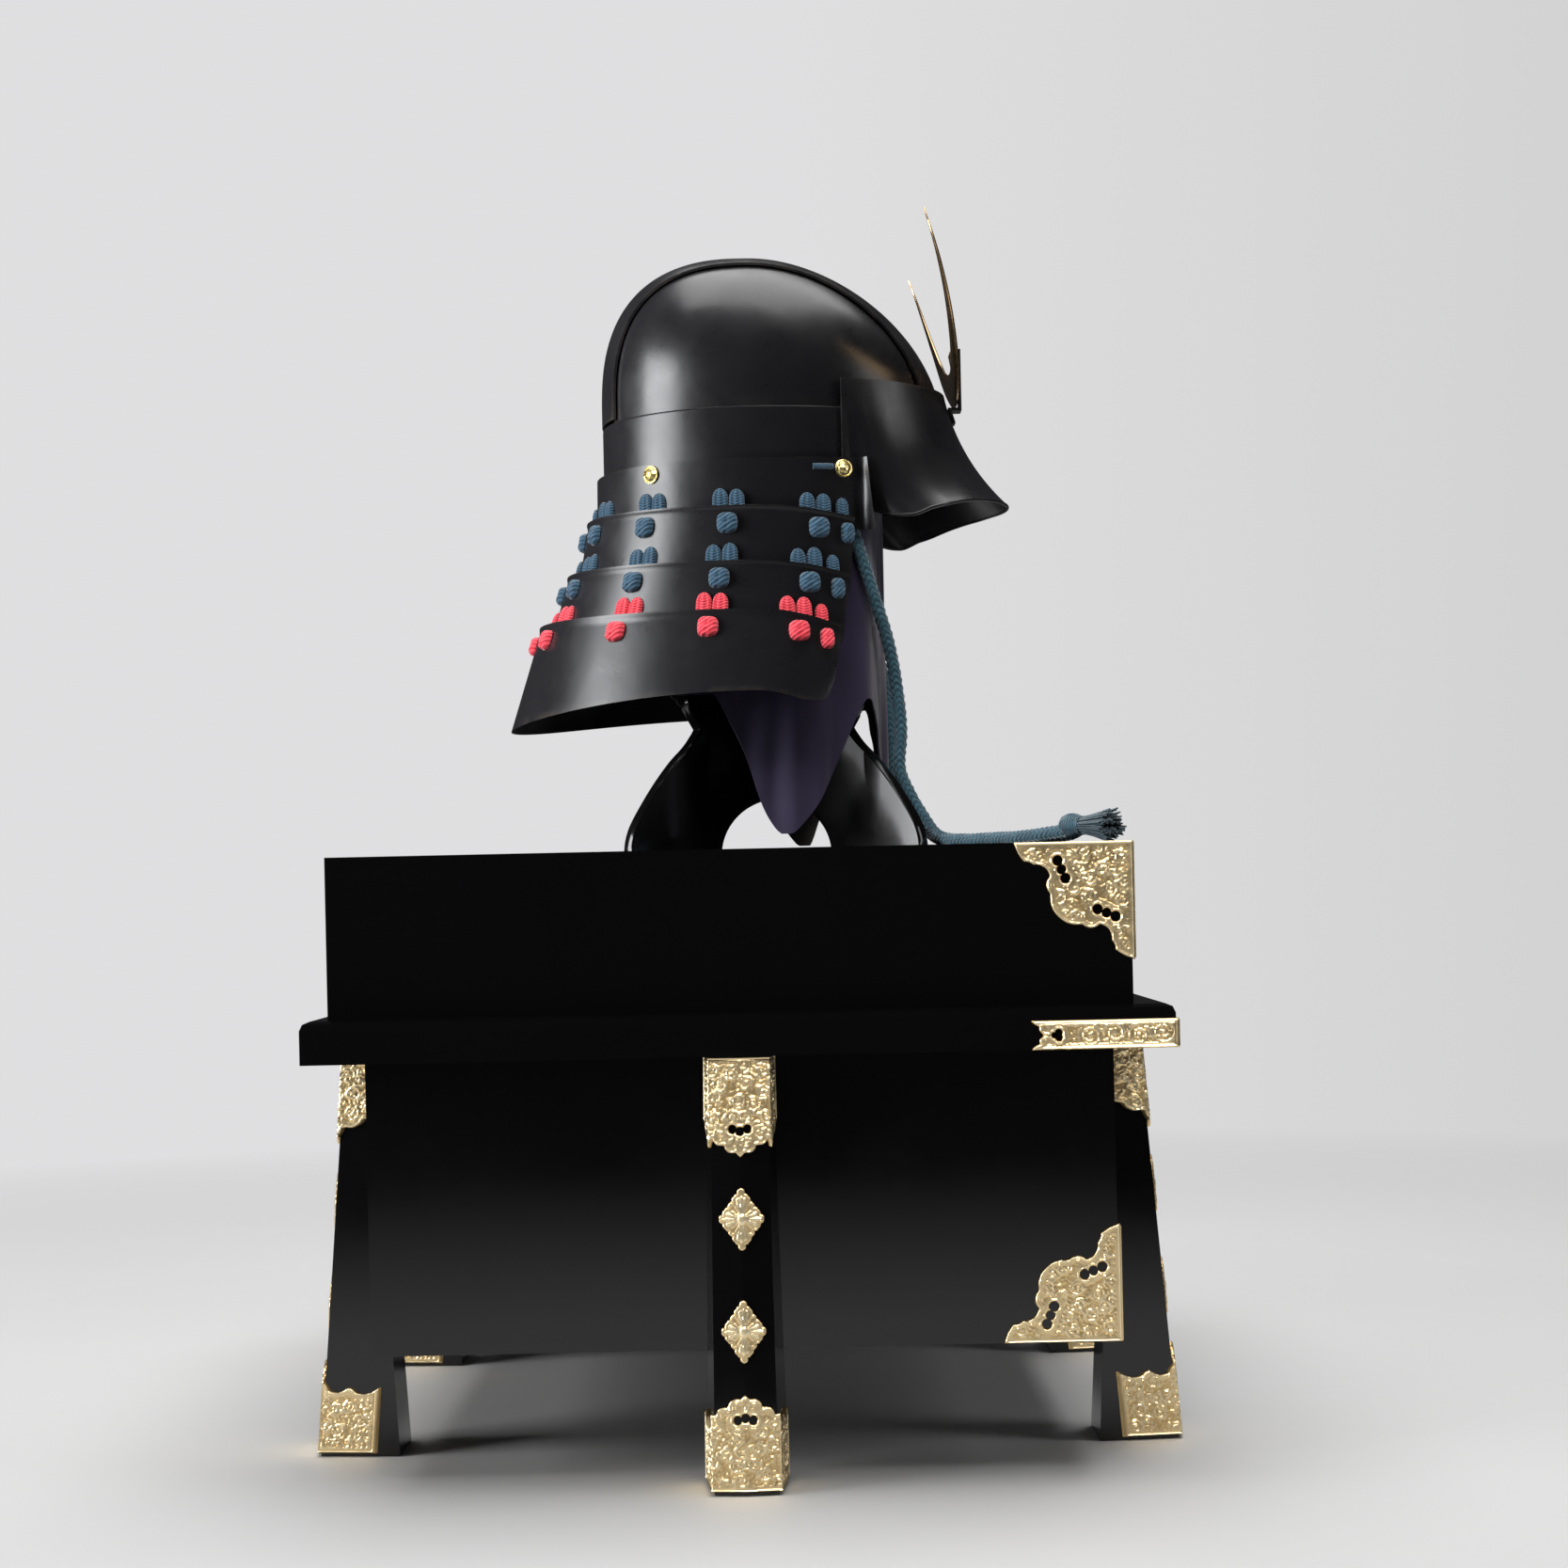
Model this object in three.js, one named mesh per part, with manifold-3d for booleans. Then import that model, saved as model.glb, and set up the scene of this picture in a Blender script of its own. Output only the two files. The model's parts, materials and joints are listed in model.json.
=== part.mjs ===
// A samurai helmet with a crescent crest, on a stand under a draped cloth, on a lacquered armour chest.
// Sizes are millimetres. +X is the front, +Z is up, and the origin is on the floor under the chest's centre.
import * as THREE from 'three';
import { mergeVertices } from 'three/addons/utils/BufferGeometryUtils.js';
import Module from 'manifold-3d';

const wasm = await Module();
wasm.setup();

const GAP = 0.3; // left between pieces that touch
const FACET_ROOM = 0.3; // more where two faceted curves lie one over the other

// Chest
const BOX_WIDTH = 420; // along X
const BOX_LENGTH = 500; // along Y
const BOX_VISIBLE_HEIGHT = 166; // below the lid's moulding
const BOX_IN_LID = 64; // how far its walls rise inside the lid
const BOX_WALL = 9;
const BOX_OFF_FLOOR = 72;
const LID_PLAY = 6; // mean room between the box and the lid's inside
const LID_SET_BACK = LID_PLAY * 0.66; // the lid's upper part sits a little towards the back
const LID_WALL = 8;
const LID_HEIGHT = 90.4; // above the moulding
const MOULDING_OVERHANG = 31; // beyond the box
const MOULDING_HEIGHT = 24;
const MOULDING_ROUND = 5;

// Legs and their gilt fittings
const LEG_TOP_REACH = 27; // out from the box's face
const LEG_FOOT_REACH = 46;
const LEG_TOP_WIDTH = 31;
const LEG_FOOT_WIDTH = 35;
const LEG_SIDE_FLARE = 0.12; // widening of each side for each mm towards the box
const LEG_RIDGE = 2;
const LEG_TUCK = 4; // how far the foot runs in under the box
const SIDE_LEG_SPACING = 300;
const PLATE = 1;
const CAP_SOLE = 2;
const CAP_HEIGHT = 54;
const CAP_DEPTH = 34; // cover of the leg's sides
const COLLAR_HEIGHT = 55;
const COLLAR_DEPTH = 22;
const CORNER_SIZE = 66;
const MOULDING_CORNER_LENGTH = 81;
const MOULDING_CORNER_HEIGHT = 16;

// Bowl
const BOWL_X = 10; // where the bowl is widest
const BOWL_FRONT = 124; // from there to the front
const BOWL_BACK = 92.6;
const BOWL_HALF_WIDTH = 88;
const BOWL_SEAM_ABOVE_LID = 277.6;
const BOWL_HEIGHT = 107.6; // above the seam
const BOWL_UPRIGHT = 10; // upright stretch above the seam at the sides and back
const BOWL_SHEET = 1.8;
const CROWN_HALF_WIDTH = 40;
const CROWN_LAP = 6; // over the side plates
const CROWN_SHEET = 1.4;
const BAND_LAP = 8; // of the bowl's lower edge inside the band
const BAND_HEIGHT = 50;
const BAND_SHEET = 1.6;

// Brow plate and visor
const BROW_SHEET = 1.6;
const BROW_RISE = 18; // of its top edge above the seam
const BROW_BACK_X = 69.5;
const VISOR_REACH = 40.3;
const VISOR_DROP = 72.5;
const VISOR_SPREAD = 14;

// Neck guard
const NECK_DROP = 195; // from the seam to its lowest edge, at the back
const NECK_SIDE_FLARE = 47; // how far its lower edge stands out of the bowl's wall at the sides
const NECK_BACK_FLARE = 66; // and at the back
const LAME_SHEET = 1.5;
const LAME_RIM = 1.2; // the top rim is bent out by this
const RIM_HEIGHT = 3;
const CORNER_RISE = 16; // of the last lame's rounded lower corners
const WING_START_X = 76;
const WING_TURN = 14; // how far the first lame's wings turn out
const RIVET_RADIUS = 5.5;
const RIVET_HEIGHT = 3;
const RIVET_SHANK = 1.7;
const RIVET_BELOW_SEAM = 39.5;
const REAR_RIVET_BACK = 60.3; // behind the bowl's widest place

// Laces
const LACE_THICK = 2.2;
const PAIR_WIDTH = 19;
const SINGLE_WIDTH = 7.5;
const KNOT_SIZE = 12.5;
const KNOT_THICK = 4.2;
const LACE_RISE = 11; // of a strip's top above the next lame's rim
const LACE_DROP = 11; // of a knot's middle below it
const LACE_ROOM = 1.1; // behind a lame, for the ribbon's straight run
const PIN_HEIGHT = 2.6; // of the ribbon's turns through a lame

// Crest
const CREST_SPAN = 200; // tip to tip
const CREST_RISE = 105.3; // tips above its lowest point
const CREST_BREADTH = 22; // at the bottom
const CREST_SHEET = 3.6;
const CREST_ABOVE_SEAM = 13;
const CREST_LEAN = 0.12; // mm back for each mm up, at its foot
const CREST_BEND = 0.00102; // added lean for each mm squared
const BRACKET_SHEET = 1.8;
const BRACKET_WIDTH = 14;
const BRACKET_HEIGHT = 40;
const BRACKET_STEP = 7; // how far its blade stands off the brow plate
const BRACKET_BELOW_CREST = 4; // its shelf, under the crest's foot
const BRACKET_FOOT = 8; // how far its foot runs down the brow plate
const SOCKET_ABOVE_FOOT = 8; // the socket's lower end, above the crest's foot
const SOCKET_HEIGHT = 26;
const SOCKET_WIDTH = 18;

// Stand and cloth
const STAND_X = 22.6;
const BOARD = 8;
const FOOT_SPREAD = 130.7; // from the stand's axis to a foot's tip
const FOOT_HEIGHT = 79; // up to the waist
const STAND_HALF_WIDTH = 80; // above the waist
const ARCH_HALF_WIDTH = 55;
const ARCH_HEIGHT = 36;
const CLOTH = 1.2;
const CLOTH_SAG = 10; // how far its dome falls away from the bowl
const CLOTH_ROOM = 8; // between the bowl's wall and the reach of the cloth's sides
const CLOTH_LIFT = 4; // of the cloth's shoulder above the boards'
const FOLD_DEPTH = 2.5;

// Chin cord
const CORD_RADIUS = 4.25;
const TASSEL_LENGTH = 40;
const TASSEL_RADIUS = 9.5;

// Levels that follow from the sizes
const MOULDING_Z = BOX_OFF_FLOOR + BOX_VISIBLE_HEIGHT;
const LID_SHOULDER_Z = MOULDING_Z + MOULDING_HEIGHT;
const LID_TOP_Z = LID_SHOULDER_Z + LID_HEIGHT;
const SEAM_Z = LID_TOP_Z + BOWL_SEAM_ABOVE_LID;
const LEG_TOP_Z = MOULDING_Z - GAP;
const BAND_IN = GAP + FACET_ROOM; // outward of the side plates' face
const BAND_OUT = BAND_IN + BAND_SHEET;
const CROWN_IN = GAP + 3 * FACET_ROOM;
const CROWN_OUT = CROWN_IN + CROWN_SHEET;
const BROW_OUT = CROWN_OUT + GAP + BROW_SHEET;
const LAME_OUT = BROW_OUT + GAP + FACET_ROOM + LAME_SHEET;

const vec = (x, y, z) => new THREE.Vector3(x, y, z);
const mix = THREE.MathUtils.lerp;
const rad = THREE.MathUtils.degToRad;

// Materials
const lacquer = (color, roughness) =>
  new THREE.MeshStandardMaterial({ color, roughness, metalness: 0 });
const metal = (color, roughness) =>
  new THREE.MeshStandardMaterial({ color, roughness, metalness: 1 });
const CHEST_LACQUER = lacquer(0x0d0b0c, 0.12);
const HELMET_LACQUER = lacquer(0x17171a, 0.35);
const STAND_LACQUER = lacquer(0x0f0d0e, 0.25);
const GILT = metal(0xd9bf7c, 0.32);
const BRASS = metal(0xcfb35a, 0.3);
const CREST_GOLD = metal(0xb98d4a, 0.25);
const LACE = lacquer(0x27465c, 0.85);
const CORD = lacquer(0x1d3f4c, 0.85);
const CLOTH_PURPLE = lacquer(0x2c2140, 0.9);

const model = new THREE.Group();

function addPiece(name, geometry, material) {
  const mesh = new THREE.Mesh(geometry, material);
  mesh.name = name;
  model.add(mesh);
}

// Closed geometry from points and triangles, turned so that its faces point out.
function closedGeometry(points, triangles) {
  let volume = 0;
  for (const [a, b, c] of triangles) {
    volume += points[a].dot(vec(0, 0, 0).crossVectors(points[b], points[c]));
  }
  const index = triangles.flatMap(([a, b, c]) => (volume < 0 ? [a, c, b] : [a, b, c]));
  const geometry = new THREE.BufferGeometry().setFromPoints(points);
  geometry.setIndex(index);
  geometry.computeVertexNormals();
  return geometry;
}

// A closed body through rings of equally many points, with a fan over each convex end.
function loft(rings) {
  const count = rings[0].length;
  const points = rings.flat();
  const triangles = [];
  for (let r = 0; r + 1 < rings.length; r += 1) {
    for (let i = 0; i < count; i += 1) {
      const a = r * count + i;
      const b = r * count + ((i + 1) % count);
      triangles.push([a, b, b + count], [a, b + count, a + count]);
    }
  }
  const last = (rings.length - 1) * count;
  for (let i = 1; i + 1 < count; i += 1) {
    triangles.push([0, i + 1, i], [last, last + i, last + i + 1]);
  }
  return closedGeometry(points, triangles);
}

// A closed sheet between two grids of points, rows by columns.
function sheet(outer, inner, closedRound = false) {
  const rows = outer.length;
  const columns = outer[0].length;
  const size = rows * columns;
  const points = [...outer.flat(), ...inner.flat()];
  const triangles = [];
  const quad = (a, b, c, d) => triangles.push([a, b, c], [a, c, d]);
  const at = (row, column) => row * columns + (column % columns);
  const lastColumn = closedRound ? columns : columns - 1;
  for (let r = 0; r + 1 < rows; r += 1) {
    for (let c = 0; c < lastColumn; c += 1) {
      quad(at(r, c), at(r, c + 1), at(r + 1, c + 1), at(r + 1, c));
      quad(size + at(r, c), size + at(r + 1, c), size + at(r + 1, c + 1), size + at(r, c + 1));
    }
  }
  for (let c = 0; c < lastColumn; c += 1) {
    quad(at(0, c), size + at(0, c), size + at(0, c + 1), at(0, c + 1));
    quad(at(rows - 1, c), at(rows - 1, c + 1), size + at(rows - 1, c + 1), size + at(rows - 1, c));
  }
  for (let r = 0; !closedRound && r + 1 < rows; r += 1) {
    const c = columns - 1;
    quad(at(r, 0), at(r + 1, 0), size + at(r + 1, 0), size + at(r, 0));
    quad(at(r, c), size + at(r, c), size + at(r + 1, c), at(r + 1, c));
  }
  return closedGeometry(points, triangles);
}

// A grid of points moved inward along its own normals.
function thickened(outer, thickness, inward) {
  return outer.map((row, r) =>
    row.map((point, c) => {
      const along = vec(0, 0, 0).subVectors(
        row[Math.min(c + 1, row.length - 1)],
        row[Math.max(c - 1, 0)],
      );
      const down = vec(0, 0, 0).subVectors(
        outer[Math.min(r + 1, outer.length - 1)][c],
        outer[Math.max(r - 1, 0)][c],
      );
      const normal = along.cross(down).normalize();
      const turn = normal.dot(inward(point)) < 0 ? -thickness : thickness;
      return point.clone().addScaledVector(normal, turn);
    }),
  );
}

// Joining and cutting
function toSolid(geometry) {
  const bare = geometry.clone();
  for (const name of ['normal', 'uv']) bare.deleteAttribute(name);
  const merged = mergeVertices(bare, 1e-4);
  return new wasm.Manifold(
    new wasm.Mesh({
      numProp: 3,
      vertProperties: merged.attributes.position.array,
      triVerts: new Uint32Array(merged.index.array),
    }),
  );
}

function toGeometry(solid) {
  const { vertProperties, triVerts } = solid.getMesh();
  const geometry = new THREE.BufferGeometry();
  geometry.setAttribute('position', new THREE.BufferAttribute(vertProperties, 3));
  geometry.setIndex(new THREE.BufferAttribute(triVerts, 1));
  geometry.computeVertexNormals();
  return geometry;
}

const join = (pieces) => toGeometry(pieces.map(toSolid).reduce((sum, piece) => sum.add(piece)));
const cut = (body, tools) =>
  toGeometry(tools.map(toSolid).reduce((sum, tool) => sum.subtract(tool), toSolid(body)));

function block(low, high) {
  const geometry = new THREE.BoxGeometry(...vec(0, 0, 0).subVectors(high, low).toArray());
  const middle = vec(0, 0, 0).addVectors(low, high).multiplyScalar(0.5);
  return geometry.translate(...middle.toArray());
}

// An outline of [u, v] pairs pushed through a thickness, then placed by its three axes and its corner.
function plateFrom(outline, thickness, corner, uAxis, vAxis) {
  const shape = new THREE.Shape(outline.map(([u, v]) => new THREE.Vector2(u, v)));
  const geometry = new THREE.ExtrudeGeometry(shape, { depth: thickness, bevelEnabled: false, steps: 1 });
  const through = vec(0, 0, 0).crossVectors(uAxis, vAxis);
  const frame = new THREE.Matrix4().makeBasis(uAxis, vAxis, through).setPosition(corner);
  return geometry.applyMatrix4(frame);
}

// Chest
const boxHalfX = BOX_WIDTH / 2;
const boxHalfY = BOX_LENGTH / 2;
const lidOverhang = LID_PLAY + LID_WALL;
const lidFrontX = boxHalfX + lidOverhang - LID_SET_BACK;
const lidBackX = -boxHalfX - lidOverhang - LID_SET_BACK;
const lidHalfY = boxHalfY + lidOverhang;
const mouldingFrontX = boxHalfX + MOULDING_OVERHANG;
const mouldingHalfY = boxHalfY + MOULDING_OVERHANG;

function chestBox() {
  const top = MOULDING_Z + BOX_IN_LID;
  const outside = block(vec(-boxHalfX, -boxHalfY, BOX_OFF_FLOOR), vec(boxHalfX, boxHalfY, top));
  const inside = block(
    vec(-boxHalfX + BOX_WALL, -boxHalfY + BOX_WALL, BOX_OFF_FLOOR + BOX_WALL),
    vec(boxHalfX - BOX_WALL, boxHalfY - BOX_WALL, top + BOX_WALL),
  );
  return cut(outside, [inside]);
}

function rectangleRing(inset, z) {
  const x = mouldingFrontX - inset;
  const y = mouldingHalfY - inset;
  return [vec(x, -y, z), vec(x, y, z), vec(-x, y, z), vec(-x, -y, z)];
}

function chestLid() {
  const moulding = loft([
    rectangleRing(0, MOULDING_Z),
    rectangleRing(0, LID_SHOULDER_Z - MOULDING_ROUND),
    rectangleRing(MOULDING_ROUND * 0.3, LID_SHOULDER_Z - MOULDING_ROUND * 0.3),
    rectangleRing(MOULDING_ROUND, LID_SHOULDER_Z),
  ]);
  const upper = block(vec(lidBackX, -lidHalfY, MOULDING_Z + 1), vec(lidFrontX, lidHalfY, LID_TOP_Z));
  const inside = block(
    vec(lidBackX + LID_WALL, -lidHalfY + LID_WALL, MOULDING_Z - 1),
    vec(lidFrontX - LID_WALL, lidHalfY - LID_WALL, LID_TOP_Z - LID_WALL),
  );
  return cut(join([moulding, upper]), [inside]);
}

// Each leg is made at the origin with its back to -X, then turned and moved to its face of the box.
// Its section at a height, grown outward by an offset: back corner, front corner, ridge, and the other side.
function legSection(z, offset) {
  const share = 1 - z / LEG_TOP_Z;
  const reach = mix(LEG_TOP_REACH, LEG_FOOT_REACH, share) + offset;
  const frontHalf = mix(LEG_TOP_WIDTH, LEG_FOOT_WIDTH, share) / 2 + offset;
  const below = Math.max(0, 1 - z / BOX_OFF_FLOOR);
  const back = GAP - LEG_TUCK * below;
  const backHalf = frontHalf + LEG_SIDE_FLARE * (reach - LEG_RIDGE - back);
  return { reach, frontHalf, backHalf, back };
}

function legRing(z) {
  const { reach, frontHalf, backHalf, back } = legSection(z, 0);
  return [
    vec(back, -backHalf, z),
    vec(reach - LEG_RIDGE, -frontHalf, z),
    vec(reach, 0, z),
    vec(reach - LEG_RIDGE, frontHalf, z),
    vec(back, backHalf, z),
  ];
}

// A sheet wrapped round the leg's front and sides. Its columns run from one side's back edge to the other's,
// and each edge height is a share of the fitting's height from its flat end to its peak.
const WRAP_COLUMNS = [
  { across: -1, depth: 1, cap: 0.74, collar: 0.66 },
  { across: -1, depth: 0.5, cap: 0.72, collar: 0.74 },
  { across: -1, depth: 0, cap: 0.8, collar: 0.9 },
  { across: -0.72, depth: 0, cap: 0.78, collar: 0.8 },
  { across: -0.3, depth: 0, cap: 0.93, collar: 0.9 },
  { across: 0, depth: 0, cap: 1, collar: 1 },
  { across: 0.3, depth: 0, cap: 0.93, collar: 0.9 },
  { across: 0.72, depth: 0, cap: 0.78, collar: 0.8 },
  { across: 1, depth: 0, cap: 0.8, collar: 0.9 },
  { across: 1, depth: 0.5, cap: 0.72, collar: 0.74 },
  { across: 1, depth: 1, cap: 0.74, collar: 0.66 },
];

function wrapPoint(column, z, depth, offset) {
  const { reach, frontHalf } = legSection(z, offset);
  const frontX = reach - LEG_RIDGE;
  const inX = frontX - depth * column.depth;
  const y = column.across * (frontHalf + LEG_SIDE_FLARE * (frontX - inX));
  return vec(inX + LEG_RIDGE * (1 - Math.abs(column.across)), y, z);
}

function wrappedFitting(flatZ, peakZ, edge, depth) {
  const grid = (offset) =>
    [0, 1].map((row) =>
      WRAP_COLUMNS.map((column) => {
        const z = mix(flatZ, mix(flatZ, peakZ, column[edge]), row);
        return wrapPoint(column, z, depth, offset);
      }),
    );
  return sheet(grid(GAP + PLATE), grid(GAP));
}

const LEG_PLACES = [
  { name: 'front_near', turn: 0, x: boxHalfX, y: -SIDE_LEG_SPACING / 2 },
  { name: 'front_far', turn: 0, x: boxHalfX, y: SIDE_LEG_SPACING / 2 },
  { name: 'back_near', turn: 180, x: -boxHalfX, y: -SIDE_LEG_SPACING / 2 },
  { name: 'back_far', turn: 180, x: -boxHalfX, y: SIDE_LEG_SPACING / 2 },
  { name: 'side_near', turn: -90, x: 0, y: -boxHalfY },
  { name: 'side_far', turn: 90, x: 0, y: boxHalfY },
];

function addLegs() {
  const leg = loft([legRing(0), legRing(BOX_OFF_FLOOR), legRing(LEG_TOP_Z)]);
  const cap = wrappedFitting(CAP_SOLE, CAP_HEIGHT, 'cap', CAP_DEPTH);
  const collar = wrappedFitting(LEG_TOP_Z, LEG_TOP_Z - COLLAR_HEIGHT, 'collar', COLLAR_DEPTH);
  for (const { name, turn, x, y } of LEG_PLACES) {
    const place = new THREE.Matrix4().makeRotationZ(rad(turn)).setPosition(x, y, 0);
    addPiece(`leg_${name}`, leg.clone().applyMatrix4(place), CHEST_LACQUER);
    addPiece(`foot_cap_${name}`, cap.clone().applyMatrix4(place), GILT);
    addPiece(`leg_collar_${name}`, collar.clone().applyMatrix4(place), GILT);
  }
}

// Half of a corner plate's lobed edge, as shares of its size along one edge and down the other.
// The other half is its mirror image.
const CORNER_EDGE = [
  { along: 1, down: 0 },
  { along: 0.93, down: 0.16 },
  { along: 0.85, down: 0.2 },
  { along: 0.8, down: 0.28 },
  { along: 0.72, down: 0.31 },
  { along: 0.69, down: 0.44 },
  { along: 0.63, down: 0.63 },
];
const MOULDING_EDGE = [
  { along: 1, down: 0 },
  { along: 0.94, down: 0.25 },
  { along: 0.97, down: 0.5 },
  { along: 0.94, down: 0.75 },
  { along: 1, down: 1 },
];

function cornerOutline(size) {
  const first = CORNER_EDGE.map(({ along, down }) => [along * size, down * size]);
  const second = CORNER_EDGE.slice(0, -1).map(({ along, down }) => [down * size, along * size]);
  return [[0, 0], ...first, ...second.reverse()];
}

function mouldingOutline(length, height) {
  return [[0, 0], ...MOULDING_EDGE.map((row) => [row.along * length, row.down * height]), [0, height]];
}

// A plate bent round an upright corner of the chest. The corner is at x and side * halfY, its outline starts
// at z, and up is 1 where the outline rises from there and -1 where it hangs.
function bentPlate(outline, x, side, halfY, z, up) {
  const lift = GAP + PLATE;
  const corner = vec(x + lift, side * (halfY + lift), z);
  const vAxis = vec(0, 0, up);
  const faces = [
    { uAxis: vec(-1, 0, 0), inward: vec(0, -side, 0) },
    { uAxis: vec(0, -side, 0), inward: vec(-1, 0, 0) },
  ];
  const leaves = faces.map(({ uAxis, inward }) => {
    const through = vec(0, 0, 0).crossVectors(uAxis, vAxis);
    const start = corner.clone();
    if (through.dot(inward) < 0) start.addScaledVector(inward, PLATE);
    return plateFrom(outline, PLATE, start, uAxis, vAxis);
  });
  return join(leaves);
}

function addCornerPlates() {
  const large = cornerOutline(CORNER_SIZE);
  const long = mouldingOutline(MOULDING_CORNER_LENGTH, MOULDING_CORNER_HEIGHT);
  for (const [name, side] of [['near', -1], ['far', 1]]) {
    const lid = bentPlate(large, lidFrontX, side, lidHalfY, LID_TOP_Z, -1);
    const box = bentPlate(large, boxHalfX, side, boxHalfY, BOX_OFF_FLOOR, 1);
    const moulding = bentPlate(long, mouldingFrontX, side, mouldingHalfY, MOULDING_Z, 1);
    addPiece(`lid_corner_${name}`, lid, GILT);
    addPiece(`box_corner_${name}`, box, GILT);
    addPiece(`moulding_corner_${name}`, moulding, GILT);
  }
}

// Bowl
// A point on the upright wall below the bowl: an egg-shaped plan, pushed out at the sides and at the back.
function wallPoint(angle, z, side, back = side) {
  const along = Math.cos(angle) > 0 ? BOWL_FRONT + side : BOWL_BACK + back;
  const x = BOWL_X + along * Math.cos(angle);
  return vec(x, (BOWL_HALF_WIDTH + side) * Math.sin(angle), z);
}

// How the bowl's section changes with direction: the power of its curve, and how high its wall is upright.
function bowlSection(angle) {
  const ahead = Math.max(0, Math.cos(angle)) ** 2;
  const behind = Math.max(0, -Math.cos(angle)) ** 2;
  const power = 2.05 - 0.25 * ahead + 0.55 * behind;
  return { power, upright: BOWL_UPRIGHT * (1 - ahead) };
}

// The bowl's height over a place in plan, on a face that lies out from the side plates' outer face.
function bowlZ(x, y, out) {
  const along = (x > BOWL_X ? BOWL_FRONT : BOWL_BACK) + out;
  const u = (x - BOWL_X) / along;
  const v = y / (BOWL_HALF_WIDTH + out);
  const { power, upright } = bowlSection(Math.atan2(v, u));
  const reach = Math.min(1, Math.hypot(u, v));
  const rise = (1 - reach ** power) ** (1 / power);
  return SEAM_Z + upright + (BOWL_HEIGHT + out - upright) * rise;
}

// A point at a share of the bowl's plan radius, from 1 at the wall to 0 at the top.
function bowlPoint(angle, reach, out) {
  const centre = vec(BOWL_X, 0, 0);
  const point = wallPoint(angle, 0, out).sub(centre).multiplyScalar(reach).add(centre);
  return point.setZ(bowlZ(point.x, point.y, out));
}

const SIDE_ROWS = 6;
const SIDE_COLUMNS = 15;
const sideStart = Math.asin((CROWN_HALF_WIDTH - CROWN_LAP) / BOWL_HALF_WIDTH);

function sidePlate(side) {
  const grid = (out) => {
    const rows = [];
    for (let r = -1; r <= SIDE_ROWS; r += 1) {
      const row = [];
      for (let c = 0; c < SIDE_COLUMNS; c += 1) {
        const angle = mix(sideStart, Math.PI - sideStart, c / (SIDE_COLUMNS - 1));
        const edge = (CROWN_HALF_WIDTH - CROWN_LAP) / (BOWL_HALF_WIDTH * Math.sin(angle));
        const last = Math.min(edge, 0.94);
        const turn = (Math.max(r, 0) / SIDE_ROWS) ** 1.3;
        const { power } = bowlSection(angle);
        const full = Math.acos(last ** (power / 2));
        const reach = Math.cos(full * turn) ** (2 / power);
        const point = bowlPoint(side * angle, reach, out);
        if (r < 0) point.setZ(SEAM_Z - BAND_LAP);
        row.push(point);
      }
      rows.push(row);
    }
    return rows;
  };
  return sheet(grid(0), grid(-BOWL_SHEET));
}

const CROWN_ROWS = 22;
const CROWN_COLUMNS = 5;

// The bowl's section at one y, from the front edge over the top to the back edge, in even steps.
function crownSection(y, out) {
  const room = Math.sqrt(1 - (y / (BOWL_HALF_WIDTH + out)) ** 2);
  const points = [];
  for (let i = -24; i <= 24; i += 1) {
    const along = i < 0 ? BOWL_FRONT + out : -BOWL_BACK - out;
    const { power } = bowlSection(i < 0 ? 0 : Math.PI);
    const x = BOWL_X + along * room * Math.sin((Math.abs(i) * Math.PI) / 48) ** (2 / power);
    points.push(vec(x, y, bowlZ(x, y, out)));
  }
  const low = SEAM_Z + 2;
  const ends = [points[0].clone().setZ(low), points[points.length - 1].clone().setZ(low)];
  if (points[0].z < low + 1) points.shift();
  return new THREE.CatmullRomCurve3([ends[0], ...points, ends[1]], false, 'centripetal')
    .getSpacedPoints(CROWN_ROWS);
}

function crownPlate() {
  const grid = (out) => {
    const sections = Array.from({ length: CROWN_COLUMNS }, (_, c) =>
      crownSection(mix(-CROWN_HALF_WIDTH, CROWN_HALF_WIDTH, c / (CROWN_COLUMNS - 1)), out),
    );
    return sections[0].map((_, r) => sections.map((section) => section[r]));
  };
  return sheet(grid(CROWN_OUT), grid(CROWN_IN));
}

const BAND_COLUMNS = 40;

function bandRing(z, out) {
  const angles = Array.from({ length: BAND_COLUMNS }, (_, i) => (2 * Math.PI * i) / BAND_COLUMNS);
  return angles.map((angle) => wallPoint(angle, z, out));
}

function waistBand() {
  const levels = [SEAM_Z, SEAM_Z - BAND_HEIGHT];
  return sheet(
    levels.map((z) => bandRing(z, BAND_OUT)),
    levels.map((z) => bandRing(z, BAND_IN)),
    true,
  );
}

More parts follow.
